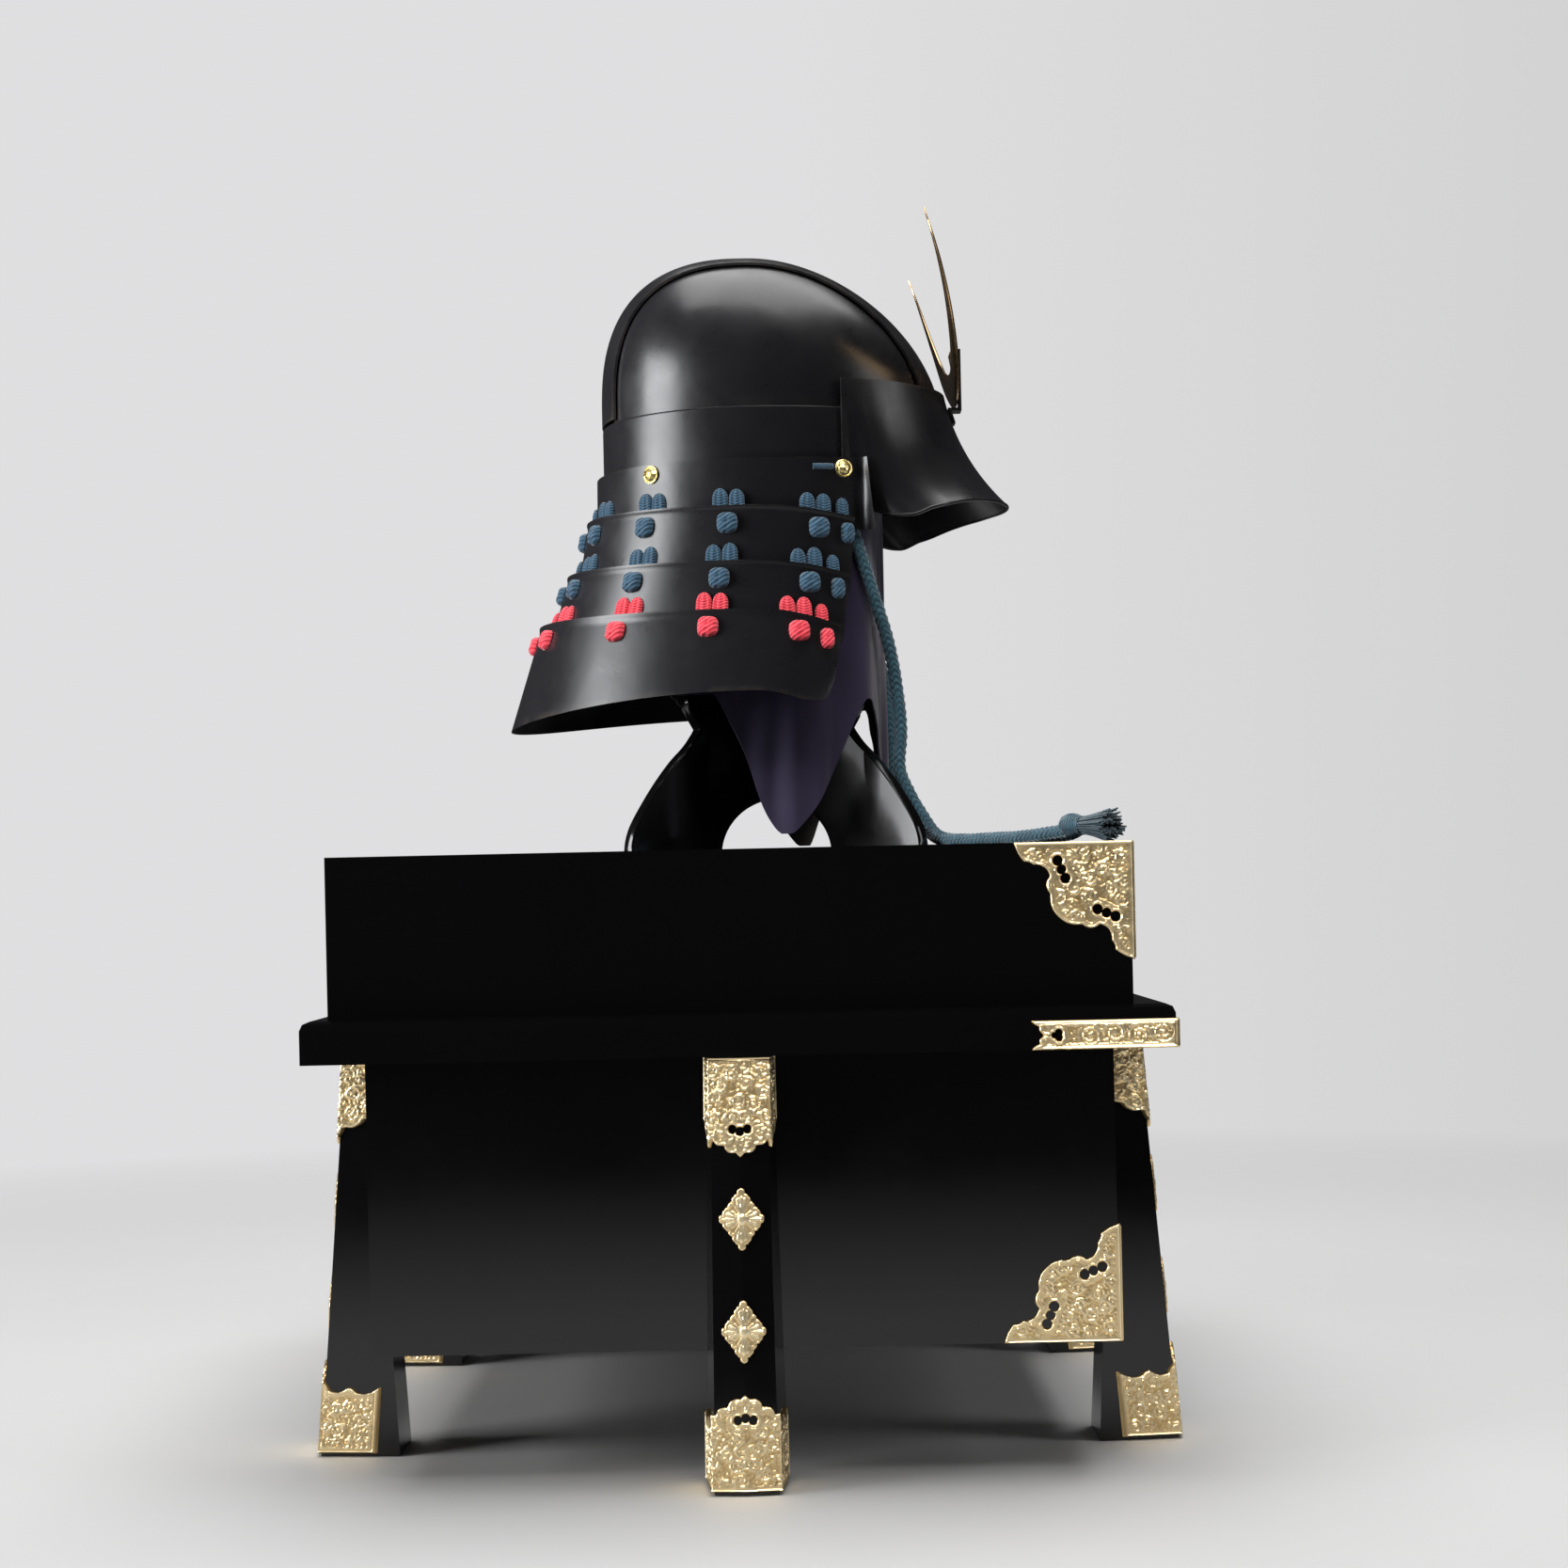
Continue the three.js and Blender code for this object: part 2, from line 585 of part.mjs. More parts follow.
// Brow plate and visor, from the middle of the brow to the back edge of a wing.
// Each row gives the place along the wing as a share of its angle, then the visor's rim as shares of its
// reach, spread and drop, and then the bend between wall and rim as shares of the same.
const VISOR_ROWS = [
  { share: 0, reach: 1, spread: 0, drop: 1, bendReach: 0.22, bendDrop: 0.58 },
  { share: 0.15, reach: 1, spread: 0.03, drop: 1, bendReach: 0.22, bendDrop: 0.58 },
  { share: 0.3, reach: 1, spread: 0.1, drop: 1, bendReach: 0.21, bendDrop: 0.6 },
  { share: 0.45, reach: 1, spread: 0.2, drop: 1.01, bendReach: 0.19, bendDrop: 0.62 },
  { share: 0.6, reach: 1, spread: 0.32, drop: 1.03, bendReach: 0.16, bendDrop: 0.66 },
  { share: 0.73, reach: 1, spread: 0.48, drop: 1.07, bendReach: 0.12, bendDrop: 0.72 },
  { share: 0.84, reach: 0.92, spread: 0.68, drop: 1.13, bendReach: 0.08, bendDrop: 0.8 },
  { share: 0.91, reach: 0.62, spread: 0.5, drop: 1.2, bendReach: 0.04, bendDrop: 0.86 },
  { share: 0.95, reach: 0.25, spread: -0.25, drop: 1.12, bendReach: 0.02, bendDrop: 0.7 },
  { share: 1, reach: 0, spread: 0, drop: 0.82, bendReach: 0, bendDrop: 0.4 },
];
const VISOR_STEPS = 6;
const wingEnd = Math.acos((BROW_BACK_X - BOWL_X) / (BOWL_FRONT + BROW_OUT));

function browPoint(row, side, t) {
  const top = wallPoint(side * row.share * wingEnd, SEAM_Z + BROW_RISE, BROW_OUT);
  const offset = (reach, spread, drop) =>
    top.clone().add(vec(reach * VISOR_REACH, side * spread * VISOR_SPREAD, -drop * VISOR_DROP));
  const bend = offset(row.bendReach, 0, row.bendDrop);
  const rim = offset(row.reach, row.spread, row.drop);
  return new THREE.QuadraticBezierCurve3(top, bend, rim).getPoint(t);
}

function browPlate() {
  const columns = [
    ...VISOR_ROWS.slice(1).map((row) => ({ row, side: -1 })).reverse(),
    ...VISOR_ROWS.map((row) => ({ row, side: 1 })),
  ];
  const outer = Array.from({ length: VISOR_STEPS + 1 }, (_, r) =>
    columns.map(({ row, side }) => browPoint(row, side, r / VISOR_STEPS)),
  );
  const inward = (point) => vec(BOWL_X - point.x, -point.y, 0).setZ(-BOWL_HEIGHT);
  const inner = thickened(outer, BROW_SHEET, inward);
  return cut(sheet(outer, inner), rivetHoles());
}

// Neck guard
// Each row is a lame, from the first down. Its edges lie below the seam by shares of the neck guard's drop.
// Then come pairs, from its top rim to its lower edge: its front edges as shares of the way from the bowl's
// widest place to its front, and its distances out of the wall as shares of the way from the first lame's to
// the flare's.
const LAME_ROWS = [
  { top: { back: 0.169, side: 0.169, front: 0.164 }, bottom: { back: 0.38, side: 0.38, front: 0.4 },
    front: [0.601, 0.635], side: [0, 0.015], back: [0, 0.01] },
  { top: { back: 0.313, side: 0.323, front: 0.362 }, bottom: { back: 0.544, side: 0.554, front: 0.6 },
    front: [0.531, 0.5], side: [0.151, 0.238], back: [0.103, 0.246] },
  { top: { back: 0.49, side: 0.503, front: 0.549 }, bottom: { back: 0.713, side: 0.715, front: 0.769 },
    front: [0.5, 0.456], side: [0.351, 0.515], back: [0.33, 0.556] },
  { top: { back: 0.656, side: 0.662, front: 0.721 }, bottom: { back: 1, side: 0.923, front: 0.998 },
    front: [0.452, 0.393], side: [0.639, 1], back: [0.643, 1] },
];
const dropsOf = ({ back, side, front }) => ({
  back: back * NECK_DROP,
  side: side * NECK_DROP,
  front: front * NECK_DROP,
});
const LAMES = LAME_ROWS.map((row) => ({
  top: dropsOf(row.top),
  bottom: dropsOf(row.bottom),
  frontX: row.front.map((share) => BOWL_X + share * BOWL_FRONT),
  side: row.side.map((share) => mix(LAME_OUT, NECK_SIDE_FLARE, share)),
  back: row.back.map((share) => mix(LAME_OUT, NECK_BACK_FLARE, share)),
}));
const LAME_COLUMNS = 22;
const CORNER_SHARE = 0.07; // of half a lame, taken by its rounded lower corner

function lameFrontAngle(lame, v) {
  const out = mix(...lame.side, v);
  return Math.acos((mix(...lame.frontX, v) - BOWL_X) / (BOWL_FRONT + out));
}

function edgeZ(edge, angle, frontAngle) {
  const ahead = Math.cos(angle) / Math.cos(frontAngle);
  const below =
    ahead > 0
      ? mix(edge.side, edge.front, Math.min(1, ahead) ** 2)
      : mix(edge.side, edge.back, Math.cos(angle) ** 2);
  return SEAM_Z - below;
}

// A point on a lame's outer face, at a share v of its height from its top rim down, moved out by an offset.
function lamePoint(lame, angle, v, offset = 0) {
  const frontAngle = lameFrontAngle(lame, v);
  const z = mix(edgeZ(lame.top, angle, frontAngle), edgeZ(lame.bottom, angle, frontAngle), v);
  const point = wallPoint(angle, z, mix(...lame.side, v) + offset, mix(...lame.back, v) + offset);
  if (lame === LAMES[0] && point.x > WING_START_X) {
    const turn = (point.x - WING_START_X) / (LAMES[0].frontX[1] - WING_START_X);
    point.y += Math.sign(point.y) * WING_TURN * turn;
  }
  return point;
}

function lameShareAt(lame, angle, z) {
  const frontAngle = lameFrontAngle(lame, 0);
  const top = edgeZ(lame.top, angle, frontAngle);
  const bottom = edgeZ(lame.bottom, angle, frontAngle);
  return (top - z) / (top - bottom);
}

// Shares of half a lame, from its back to its front edges: the last ones fit the wing or the rounded corner.
function lameColumns(lame, v) {
  const even = Array.from({ length: LAME_COLUMNS + 1 }, (_, i) => mix(-0.86, 0.86, i / LAME_COLUMNS));
  const frontAngle = lameFrontAngle(lame, v);
  const kink = Math.acos((WING_START_X - BOWL_X) / (BOWL_FRONT + mix(...lame.side, v)));
  const wing = (Math.PI - kink) / (Math.PI - frontAngle);
  const corner = [1 - CORNER_SHARE, 1 - CORNER_SHARE * 0.45, 1 - CORNER_SHARE * 0.12, 1];
  const ends = lame === LAMES[0] ? [wing - 0.05, wing, 1] : corner;
  return [...ends.map((c) => -c).reverse(), ...even, ...ends];
}

function lameSheet(lame, index) {
  const rim = index === 0 ? 0 : LAME_RIM;
  const rimShare = RIM_HEIGHT / (lame.bottom.side - lame.top.side);
  const rows = index === 0 ? [0, 1] : [0, rimShare, 1];
  const grid = (offset) =>
    rows.map((v) =>
      lameColumns(lame, v).map((c) => {
        const angle = Math.PI - c * (Math.PI - lameFrontAngle(lame, v));
        const point = lamePoint(lame, angle, v, offset + (v === 0 ? rim : 0));
        if (lame === LAMES[3] && v === 1) {
          const q = THREE.MathUtils.clamp((Math.abs(c) - 1) / CORNER_SHARE + 1, 0, 1);
          point.z += CORNER_RISE * (1 - Math.sqrt(1 - q * q));
        }
        return point;
      }),
    );
  return sheet(grid(0), grid(-LAME_SHEET));
}

// Laces
// Each column hangs at one angle round the bowl, which slides from the first joint to the third.
const LACE_COLUMNS = [
  { name: 'brow_pair', top: 71.5, bottom: 79.2, width: PAIR_WIDTH, knot: KNOT_SIZE },
  { name: 'brow_single', top: 63.6, bottom: 73, width: SINGLE_WIDTH, knot: SINGLE_WIDTH },
  { name: 'cheek', top: 97, bottom: 100.5, width: PAIR_WIDTH, knot: KNOT_SIZE },
  { name: 'side', top: 127, bottom: 126, width: PAIR_WIDTH, knot: KNOT_SIZE },
  { name: 'nape', top: 155.5, bottom: 157, width: PAIR_WIDTH, knot: KNOT_SIZE },
  { name: 'centre', top: 180, bottom: 180, width: PAIR_WIDTH, knot: KNOT_SIZE },
];

function columnAngle(column, side, joint) {
  return side * rad(mix(column.top, column.bottom, joint / (LAMES.length - 2)));
}

// The frame of a lame's face at a height: a point on it, its normal and the level tangent.
function lameFrame(lame, angle, z) {
  const v = lameShareAt(lame, angle, z);
  const point = lamePoint(lame, angle, v);
  const ahead = lamePoint(lame, angle + 0.01, v);
  const lower = lamePoint(lame, angle, v + 0.05);
  const tangent = vec(0, 0, 0).subVectors(ahead, point).normalize();
  const down = vec(0, 0, 0).subVectors(lower, point).normalize();
  const normal = vec(0, 0, 0).crossVectors(down, tangent).normalize();
  if (normal.x * (point.x - BOWL_X) + normal.y * point.y < 0) normal.negate();
  return { point, normal, tangent: tangent.setZ(0).normalize(), down };
}

const framePoint = (frame, across, out) =>
  frame.point.clone().addScaledVector(frame.tangent, across).addScaledVector(frame.normal, out);

// A ribbon through frames, each with how far its middle lies out of that frame's face.
function ribbon(stations, width, thick) {
  return loft(
    stations.map(({ frame, out }) => [
      framePoint(frame, -width / 2, out - thick / 2),
      framePoint(frame, width / 2, out - thick / 2),
      framePoint(frame, width / 2, out + thick / 2),
      framePoint(frame, -width / 2, out + thick / 2),
    ]),
  );
}

// A pin along a frame's normal, from one distance out to another.
function pin(frame, width, height, from, to) {
  const ring = (out) =>
    [[-1, -1], [1, -1], [1, 1], [-1, 1]].map(([a, b]) =>
      framePoint(frame, (a * width) / 2, out).addScaledVector(frame.down, (b * height) / 2),
    );
  return loft([ring(from), ring(to)]);
}

// A cross knot on its stem, which runs back through the lame to the ribbon behind it.
function knot(frame, size, stemWidth) {
  const sides = 4;
  const ring = (width, height, out) =>
    Array.from({ length: sides }, (_, i) => {
      const turn = (i * 2 * Math.PI) / sides;
      const across = (width / 2) * Math.cos(turn);
      return framePoint(frame, across, out).addScaledVector(frame.down, (height / 2) * Math.sin(turn));
    });
  return loft([
    ring(stemWidth, PIN_HEIGHT, seatIn),
    ring(stemWidth, PIN_HEIGHT, GAP + FACET_ROOM),
    ring(size, KNOT_SIZE, GAP + 1.5 * FACET_ROOM),
    ring(size * 0.72, KNOT_SIZE * 0.72, GAP + KNOT_THICK),
  ]);
}

const PIN_SHARE = 0.45; // of the lace's width
const seatOut = GAP + FACET_ROOM + LACE_THICK / 2; // a ribbon's middle above the face that it lies on
const seatIn = -LAME_SHEET - GAP - LACE_ROOM - LACE_THICK / 2;

// Where a column meets each lame below a joint: the knot's place, and the next strip's top.
function laceStations(column, side) {
  return [0, 1, 2].map((joint) => {
    const angle = columnAngle(column, side, joint);
    const upper = LAMES[joint];
    const lower = LAMES[joint + 1];
    const rimZ = edgeZ(lower.top, angle, lameFrontAngle(lower, 0));
    return { joint, angle, upper, lower, rimZ };
  });
}

function laceTail(station, next) {
  return next ? next.rimZ + LACE_RISE - 2 * PIN_HEIGHT : station.rimZ - LACE_DROP - 2;
}

function lace(column, side) {
  const pieces = [];
  const stations = laceStations(column, side);
  stations.forEach((station, i) => {
    const { angle, upper, lower, rimZ } = station;
    const head = rimZ + LACE_RISE;
    const tail = laceTail(station, stations[i + 1]);
    const pinWidth = column.width * PIN_SHARE;
    const tailAngle = stations[i + 1] ? stations[i + 1].angle : angle;
    const strip = [
      { frame: lameFrame(upper, angle, head), out: seatOut },
      { frame: lameFrame(upper, angle, rimZ + 1), out: seatOut },
      { frame: lameFrame(lower, tailAngle, tail), out: seatIn },
    ];
    pieces.push(ribbon(strip, column.width, LACE_THICK));
    if (i > 0) {
      const turn = lameFrame(upper, angle, head - PIN_HEIGHT);
      pieces.push(pin(turn, pinWidth, PIN_HEIGHT, seatIn, seatOut));
    }
    const tie = lameFrame(lower, angle, rimZ - LACE_DROP);
    pieces.push(knot(tie, column.knot, pinWidth));
  });
  return join(pieces);
}

function laceHoles(index) {
  const holes = [];
  const grow = 2 * GAP;
  for (const { column, side } of laceList()) {
    const pinWidth = column.width * PIN_SHARE + grow;
    for (const { angle, upper, lower, rimZ } of laceStations(column, side)) {
      const places = [];
      if (index > 0 && upper === LAMES[index]) places.push(rimZ + LACE_RISE - PIN_HEIGHT);
      if (lower === LAMES[index]) places.push(rimZ - LACE_DROP);
      for (const z of places) {
        const frame = lameFrame(LAMES[index], angle, z);
        holes.push(pin(frame, pinWidth, PIN_HEIGHT + grow, -LAME_SHEET - 1, 1));
      }
    }
  }
  return holes;
}

function laceList() {
  return LACE_COLUMNS.flatMap((column) =>
    column.name === 'centre'
      ? [{ column, side: 1, name: 'lace_centre' }]
      : [
          { column, side: -1, name: `lace_${column.name}_near` },
          { column, side: 1, name: `lace_${column.name}_far` },
        ],
  );
}

// Rivets, through the first lame and the band
const RIVETS = [
  { name: 'front', x: BROW_BACK_X },
  { name: 'back', x: BOWL_X - REAR_RIVET_BACK },
];

function rivetFrames() {
  const lame = LAMES[0];
  const out = lame.side[0];
  return RIVETS.flatMap(({ name, x }) =>
    [['near', -1], ['far', 1]].map(([end, side]) => {
      const along = x > BOWL_X ? BOWL_FRONT + out : BOWL_BACK + out;
      const angle = side * Math.acos((x - BOWL_X) / along);
      return { name: `rivet_${name}_${end}`, frame: lameFrame(lame, angle, SEAM_Z - RIVET_BELOW_SEAM) };
    }),
  );
}

// A turned piece whose axis follows a frame's normal.
function turned(profile, frame, sides) {
  const geometry = new THREE.LatheGeometry(profile.map(([r, h]) => new THREE.Vector2(r, h)), sides);
  const spin = new THREE.Quaternion().setFromUnitVectors(vec(0, 1, 0), frame.normal);
  return geometry.applyQuaternion(spin).translate(...frame.point.toArray());
}

const SHANK_LENGTH = LAME_OUT + 2.5;

function rivetHoles() {
  const r = RIVET_SHANK + GAP;
  const profile = [[0, -SHANK_LENGTH - 2], [r, -SHANK_LENGTH - 2], [r, 2], [0, 2]];
  return rivetFrames().map(({ frame }) => turned(profile, frame, 8));
}

function addRivets() {
  const r = RIVET_RADIUS;
  const profile = [
    [0, -SHANK_LENGTH],
    [RIVET_SHANK, -SHANK_LENGTH],
    [RIVET_SHANK, GAP],
    [r, GAP],
    [r, GAP + RIVET_HEIGHT * 0.35],
    [r * 0.72, GAP + RIVET_HEIGHT * 0.8],
    [0, GAP + RIVET_HEIGHT],
  ];
  for (const { name, frame } of rivetFrames()) addPiece(name, turned(profile, frame, 10), BRASS);
}

// Crest
const crestFootZ = SEAM_Z + CREST_ABOVE_SEAM;
const bladeZ = crestFootZ - BRACKET_BELOW_CREST;
const browFaceX = (z) => {
  const [row] = VISOR_ROWS;
  let best = browPoint(row, 1, 0);
  for (let t = 0; t <= 1; t += 0.01) {
    const point = browPoint(row, 1, t);
    if (Math.abs(point.z - z) < Math.abs(best.z - z)) best = point;
  }
  return best.x;
};
const bladeX = browFaceX(bladeZ) + BRACKET_STEP;
const crestX = (z) => {
  const rise = z - crestFootZ;
  const middle = bladeX - GAP - CREST_SHEET / 2;
  return middle - CREST_LEAN * rise - CREST_BEND * rise * rise;
};

function crest() {
  const half = CREST_SPAN / 2;
  const radius = (rise) => (half * half + rise * rise) / (2 * rise);
  const arc = (rise, foot, steps) => {
    const r = radius(rise);
    const end = Math.asin(Math.min(1, half / r));
    const sweep = rise > r ? Math.PI - end : end;
    return Array.from({ length: steps + 1 }, (_, i) => {
      const turn = mix(-sweep, sweep, i / steps);
      return [r * Math.sin(turn), foot + r - r * Math.cos(turn)];
    });
  };
  const outer = arc(CREST_RISE, 0, 28);
  const inner = arc(CREST_RISE - CREST_BREADTH, CREST_BREADTH, 24).reverse().slice(1, -1);
  const base = vec(-CREST_SHEET / 2, 0, crestFootZ);
  const geometry = plateFrom([...outer, ...inner], CREST_SHEET, base, vec(0, 1, 0), vec(0, 0, 1));
  const position = geometry.getAttribute('position');
  for (let i = 0; i < position.count; i += 1) {
    position.setX(i, position.getX(i) + crestX(position.getZ(i)));
  }
  return geometry;
}

const upright = (outline, width) =>
  plateFrom(outline, width, vec(0, width / 2, 0), vec(1, 0, 0), vec(0, 0, 1));

function crestSocket() {
  const low = crestFootZ + SOCKET_ABOVE_FOOT;
  const high = low + SOCKET_HEIGHT;
  const front = (z) => crestX(z) + CREST_SHEET / 2 + GAP;
  const outline = [
    [front(low), low],
    [bladeX - GAP, low],
    [bladeX - GAP, high],
    [front(high), high],
    [front((low + high) / 2), (low + high) / 2],
  ];
  return upright(outline, SOCKET_WIDTH);
}

function crestBracket() {
  const footZ = bladeZ - BRACKET_FOOT;
  const top = bladeZ + BRACKET_SHEET;
  const footX = (z) => browFaceX(z) + GAP + FACET_ROOM / 2;
  const outline = [
    [footX(footZ), footZ],
    [footX(footZ) + BRACKET_SHEET, footZ],
    [footX(bladeZ) + BRACKET_SHEET, bladeZ],
    [bladeX + BRACKET_SHEET, bladeZ],
    [bladeX + BRACKET_SHEET, bladeZ + BRACKET_HEIGHT],
    [bladeX, bladeZ + BRACKET_HEIGHT],
    [bladeX, top],
    [footX(top), top],
  ];
  return upright(outline, BRACKET_WIDTH);
}

// Stand
// The cloth's top follows the bowl and falls away from it; the boards' top edges lie just under the cloth.
const clothTopZ = (x, y) => {
  const r = Math.hypot(x - STAND_X, y);
  const top = bowlZ(x, y, CROWN_IN) - GAP - 2 * FACET_ROOM;
  return top - CLOTH_SAG * (r / (STAND_HALF_WIDTH * 0.75)) ** 2;
};

// The boards' side from the foot up, as shares of the foot's spread and height.
const FOOT_PROFILE = [
  { spread: 1, rise: 0 },
  { spread: 0.985, rise: 0.13 },
  { spread: 0.942, rise: 0.27 },
  { spread: 0.823, rise: 0.52 },
  { spread: 0.702, rise: 0.73 },
  { spread: 0.601, rise: 0.87 },
  { spread: 0.53, rise: 1 },
];
// Above the waist, as shares of the half width and of the height from the waist to the top.
const UPPER_PROFILE = [
  { spread: 0.96, rise: 0.035 },
  { spread: 1, rise: 0.1 },
  { spread: 1, rise: 0.68 },
  { spread: 0.96, rise: 0.76 },
  { spread: 0.84, rise: 0.82 },
];
const DOME_ROWS = [0.08, 0.35, 0.56, 0.75]; // shares of the half width
const ARCH_STEPS = 6;
const boardFootZ = LID_TOP_Z + GAP;
const underCloth = CLOTH + GAP + FACET_ROOM;
const boardTopZ = clothTopZ(STAND_X + DOME_ROWS[0] * STAND_HALF_WIDTH, 0) - underCloth;
const waistZ = boardFootZ + FOOT_HEIGHT;

function boardSide(direction, heading) {
  const side = FOOT_PROFILE.map(({ spread, rise }) => [
    direction * spread * FOOT_SPREAD,
    boardFootZ + rise * FOOT_HEIGHT,
  ]);
  for (const { spread, rise } of UPPER_PROFILE) {
    side.push([direction * spread * STAND_HALF_WIDTH, mix(waistZ, boardTopZ, rise)]);
  }
  for (const share of [...DOME_ROWS].reverse()) {
    const r = direction * share * STAND_HALF_WIDTH;
    const top = clothTopZ(STAND_X + r * Math.cos(heading), r * Math.sin(heading));
    side.push([r, top - underCloth - share * BOARD * 0.35]);
  }
  return side;
}

function standBoard(heading, slotFromTop) {
  const slot = BOARD / 2 + GAP;
  const archTop = boardFootZ + ARCH_HEIGHT;
  const middle = (archTop + boardTopZ) / 2;
  const arch = Array.from({ length: ARCH_STEPS + 1 }, (_, i) => {
    const turn = (Math.PI * i) / ARCH_STEPS;
    return [-ARCH_HALF_WIDTH * Math.cos(turn), boardFootZ + ARCH_HEIGHT * Math.sin(turn)];
  });
  const notch = (z, level, first) => [[first, z], [first, level], [-first, level], [-first, z]];
  const topNotch = slotFromTop ? notch(boardTopZ, middle - GAP / 2, slot) : [];
  const bottomNotch = slotFromTop ? [] : notch(archTop, middle + GAP / 2, -slot);
  const archSide = (low, high) => arch.filter(([r]) => r > low && r < high);
  const outline = [
    ...boardSide(1, heading),
    ...topNotch,
    ...boardSide(-1, heading).reverse(),
    ...archSide(-Infinity, -1),
    ...(slotFromTop ? archSide(-1, 1) : bottomNotch),
    ...archSide(1, Infinity),
  ];
  const across = vec(Math.cos(heading), Math.sin(heading), 0);
  const through = vec(0, 0, 0).crossVectors(across, vec(0, 0, 1));
  const corner = vec(STAND_X, 0, 0).addScaledVector(through, -BOARD / 2);
  return plateFrom(outline, BOARD, corner, across, vec(0, 0, 1));
}

// Cloth
// Round the stand from the front: how high the hem hangs as a share of the way from the lid to the seam, and
// how far out the cloth hangs as a share of its reach.
const HEM = [
  { angle: 0, hang: 0.115, out: 0.9 },
  { angle: 15, hang: 0.15, out: 0.92 },
  { angle: 32, hang: 0.28, out: 0.97 },
  { angle: 45, hang: 0.345, out: 1.06 },
  { angle: 58, hang: 0.2, out: 0.97 },
  { angle: 72, hang: 0.02, out: 0.93 },
  { angle: 88, hang: 0.08, out: 0.91 },
  { angle: 105, hang: 0.24, out: 0.92 },
  { angle: 120, hang: 0.34, out: 0.98 },
  { angle: 135, hang: 0.36, out: 1.06 },
  { angle: 155, hang: 0.38, out: 0.93 },
  { angle: 180, hang: 0.39, out: 0.87 },
  { angle: 205, hang: 0.38, out: 0.93 },
  { angle: 225, hang: 0.36, out: 1.06 },
  { angle: 244, hang: 0.35, out: 0.98 },
  { angle: 254, hang: 0.24, out: 0.92 },
  { angle: 264, hang: 0.1, out: 0.9 },
  { angle: 273, hang: 0.04, out: 0.91 },
  { angle: 286, hang: 0.075, out: 0.92 },
  { angle: 300, hang: 0.18, out: 0.95 },
  { angle: 315, hang: 0.345, out: 1.06 },
  { angle: 328, hang: 0.28, out: 0.97 },
  { angle: 345, hang: 0.15, out: 0.92 },
];
const DRAPE_ROWS = [0, 0.12, 0.5, 1];
const SHOULDER_SPREAD = 0.86;

// The cloth reaches as far as the boards over them, and between them as far as the bowl leaves room.
const clothReach = (angle) =>
  mix(STAND_HALF_WIDTH, BOWL_HALF_WIDTH - CLOTH_ROOM, Math.cos(2 * rad(angle)) ** 2);

function clothRings(inset) {
  const rings = DOME_ROWS.map((share) =>
    HEM.map(({ angle }) => {
      const r = share * STAND_HALF_WIDTH;
      const x = STAND_X + r * Math.cos(rad(angle));
      const y = r * Math.sin(rad(angle));
      return vec(x, y, clothTopZ(x, y) - inset);
    }),
  );
  const { rise } = UPPER_PROFILE[UPPER_PROFILE.length - 1];
  const shoulderZ = mix(waistZ, boardTopZ, rise) + CLOTH_LIFT;
  for (const share of DRAPE_ROWS) {
    const ring = HEM.map(({ angle, hang, out }, i) => {
      const hemZ = LID_TOP_Z + 2 * GAP + hang * BOWL_SEAM_ABOVE_LID;
      const z = mix(shoulderZ, hemZ, share);
      const spread = share > 0 ? out : mix(SHOULDER_SPREAD, out, 0.25);
      const fold = FOLD_DEPTH * share * (i % 2 ? 1 : -1) * (out < 1 ? 1 : 0);
      const r = spread * clothReach(angle) + fold - inset;
      return vec(STAND_X + r * Math.cos(rad(angle)), r * Math.sin(rad(angle)), z);
    });
    rings.push(ring);
  }
  return rings;
}

const standCloth = () => loft([...clothRings(0), ...clothRings(CLOTH).reverse()]);

// Chin cord: both ends hang from inside the band, meet on the lid and run along it to the tassel.
const CORD_REST_Z = LID_TOP_Z + GAP + CORD_RADIUS;
const CORD_NEAR = [
  [61, -71.5, 594], [67, -71.5, 574], [77, -69, 548], [87, -66, 515], [96, -59, 485], [101, -52, 458],
  [103.5, -50, 430], [102, -52, 405], [108, -55, 388], [116, -60, 373], [122, -70, 363],
  [128, -86, CORD_REST_Z + 1.5], [140, -112, CORD_REST_Z], [154, -140, CORD_REST_Z],
  [168, -172, CORD_REST_Z], [184, -203, CORD_REST_Z + 1],
];
const CORD_FAR = [
  [61, 71.5, 594], [67, 71.5, 574], [77, 69, 548], [86, 66, 515], [94, 59, 485], [99, 51, 458],
  [101, 47, 430], [102, 43, 405], [108, 34, 388], [117, 14, 373], [125, -14, 362],
  [132, -44, CORD_REST_Z + 1.5], [139, -76, CORD_REST_Z], [152, -110, CORD_REST_Z],
  [167, -144, CORD_REST_Z], [180, -170, CORD_REST_Z], [193, -197, CORD_REST_Z + 1],
];
const CORD_SIDES = 8;
const CORD_STEPS = 24;

function cordTube(places) {
  const path = new THREE.CatmullRomCurve3(places.map((place) => vec(...place)), false, 'centripetal');
  const section = new THREE.Shape();
  for (let i = 0; i < CORD_SIDES; i += 1) {
    const turn = (2 * Math.PI * i) / CORD_SIDES;
    const corner = [CORD_RADIUS * Math.cos(turn), CORD_RADIUS * Math.sin(turn)];
    if (i === 0) section.moveTo(...corner);
    else section.lineTo(...corner);
  }
  return new THREE.ExtrudeGeometry(section, { steps: CORD_STEPS, extrudePath: path, bevelEnabled: false });
}

// The tassel lies on the lid: a wrapped head that takes both cord ends, then the spread threads.
const TASSEL_PROFILE = [
  { along: 0, radius: 0 },
  { along: 0, radius: 0.7 },
  { along: 0.1, radius: 0.82 },
  { along: 0.24, radius: 0.72 },
  { along: 0.3, radius: 0.62 },
  { along: 0.6, radius: 0.9 },
  { along: 1, radius: 1 },
  { along: 1, radius: 0 },
];

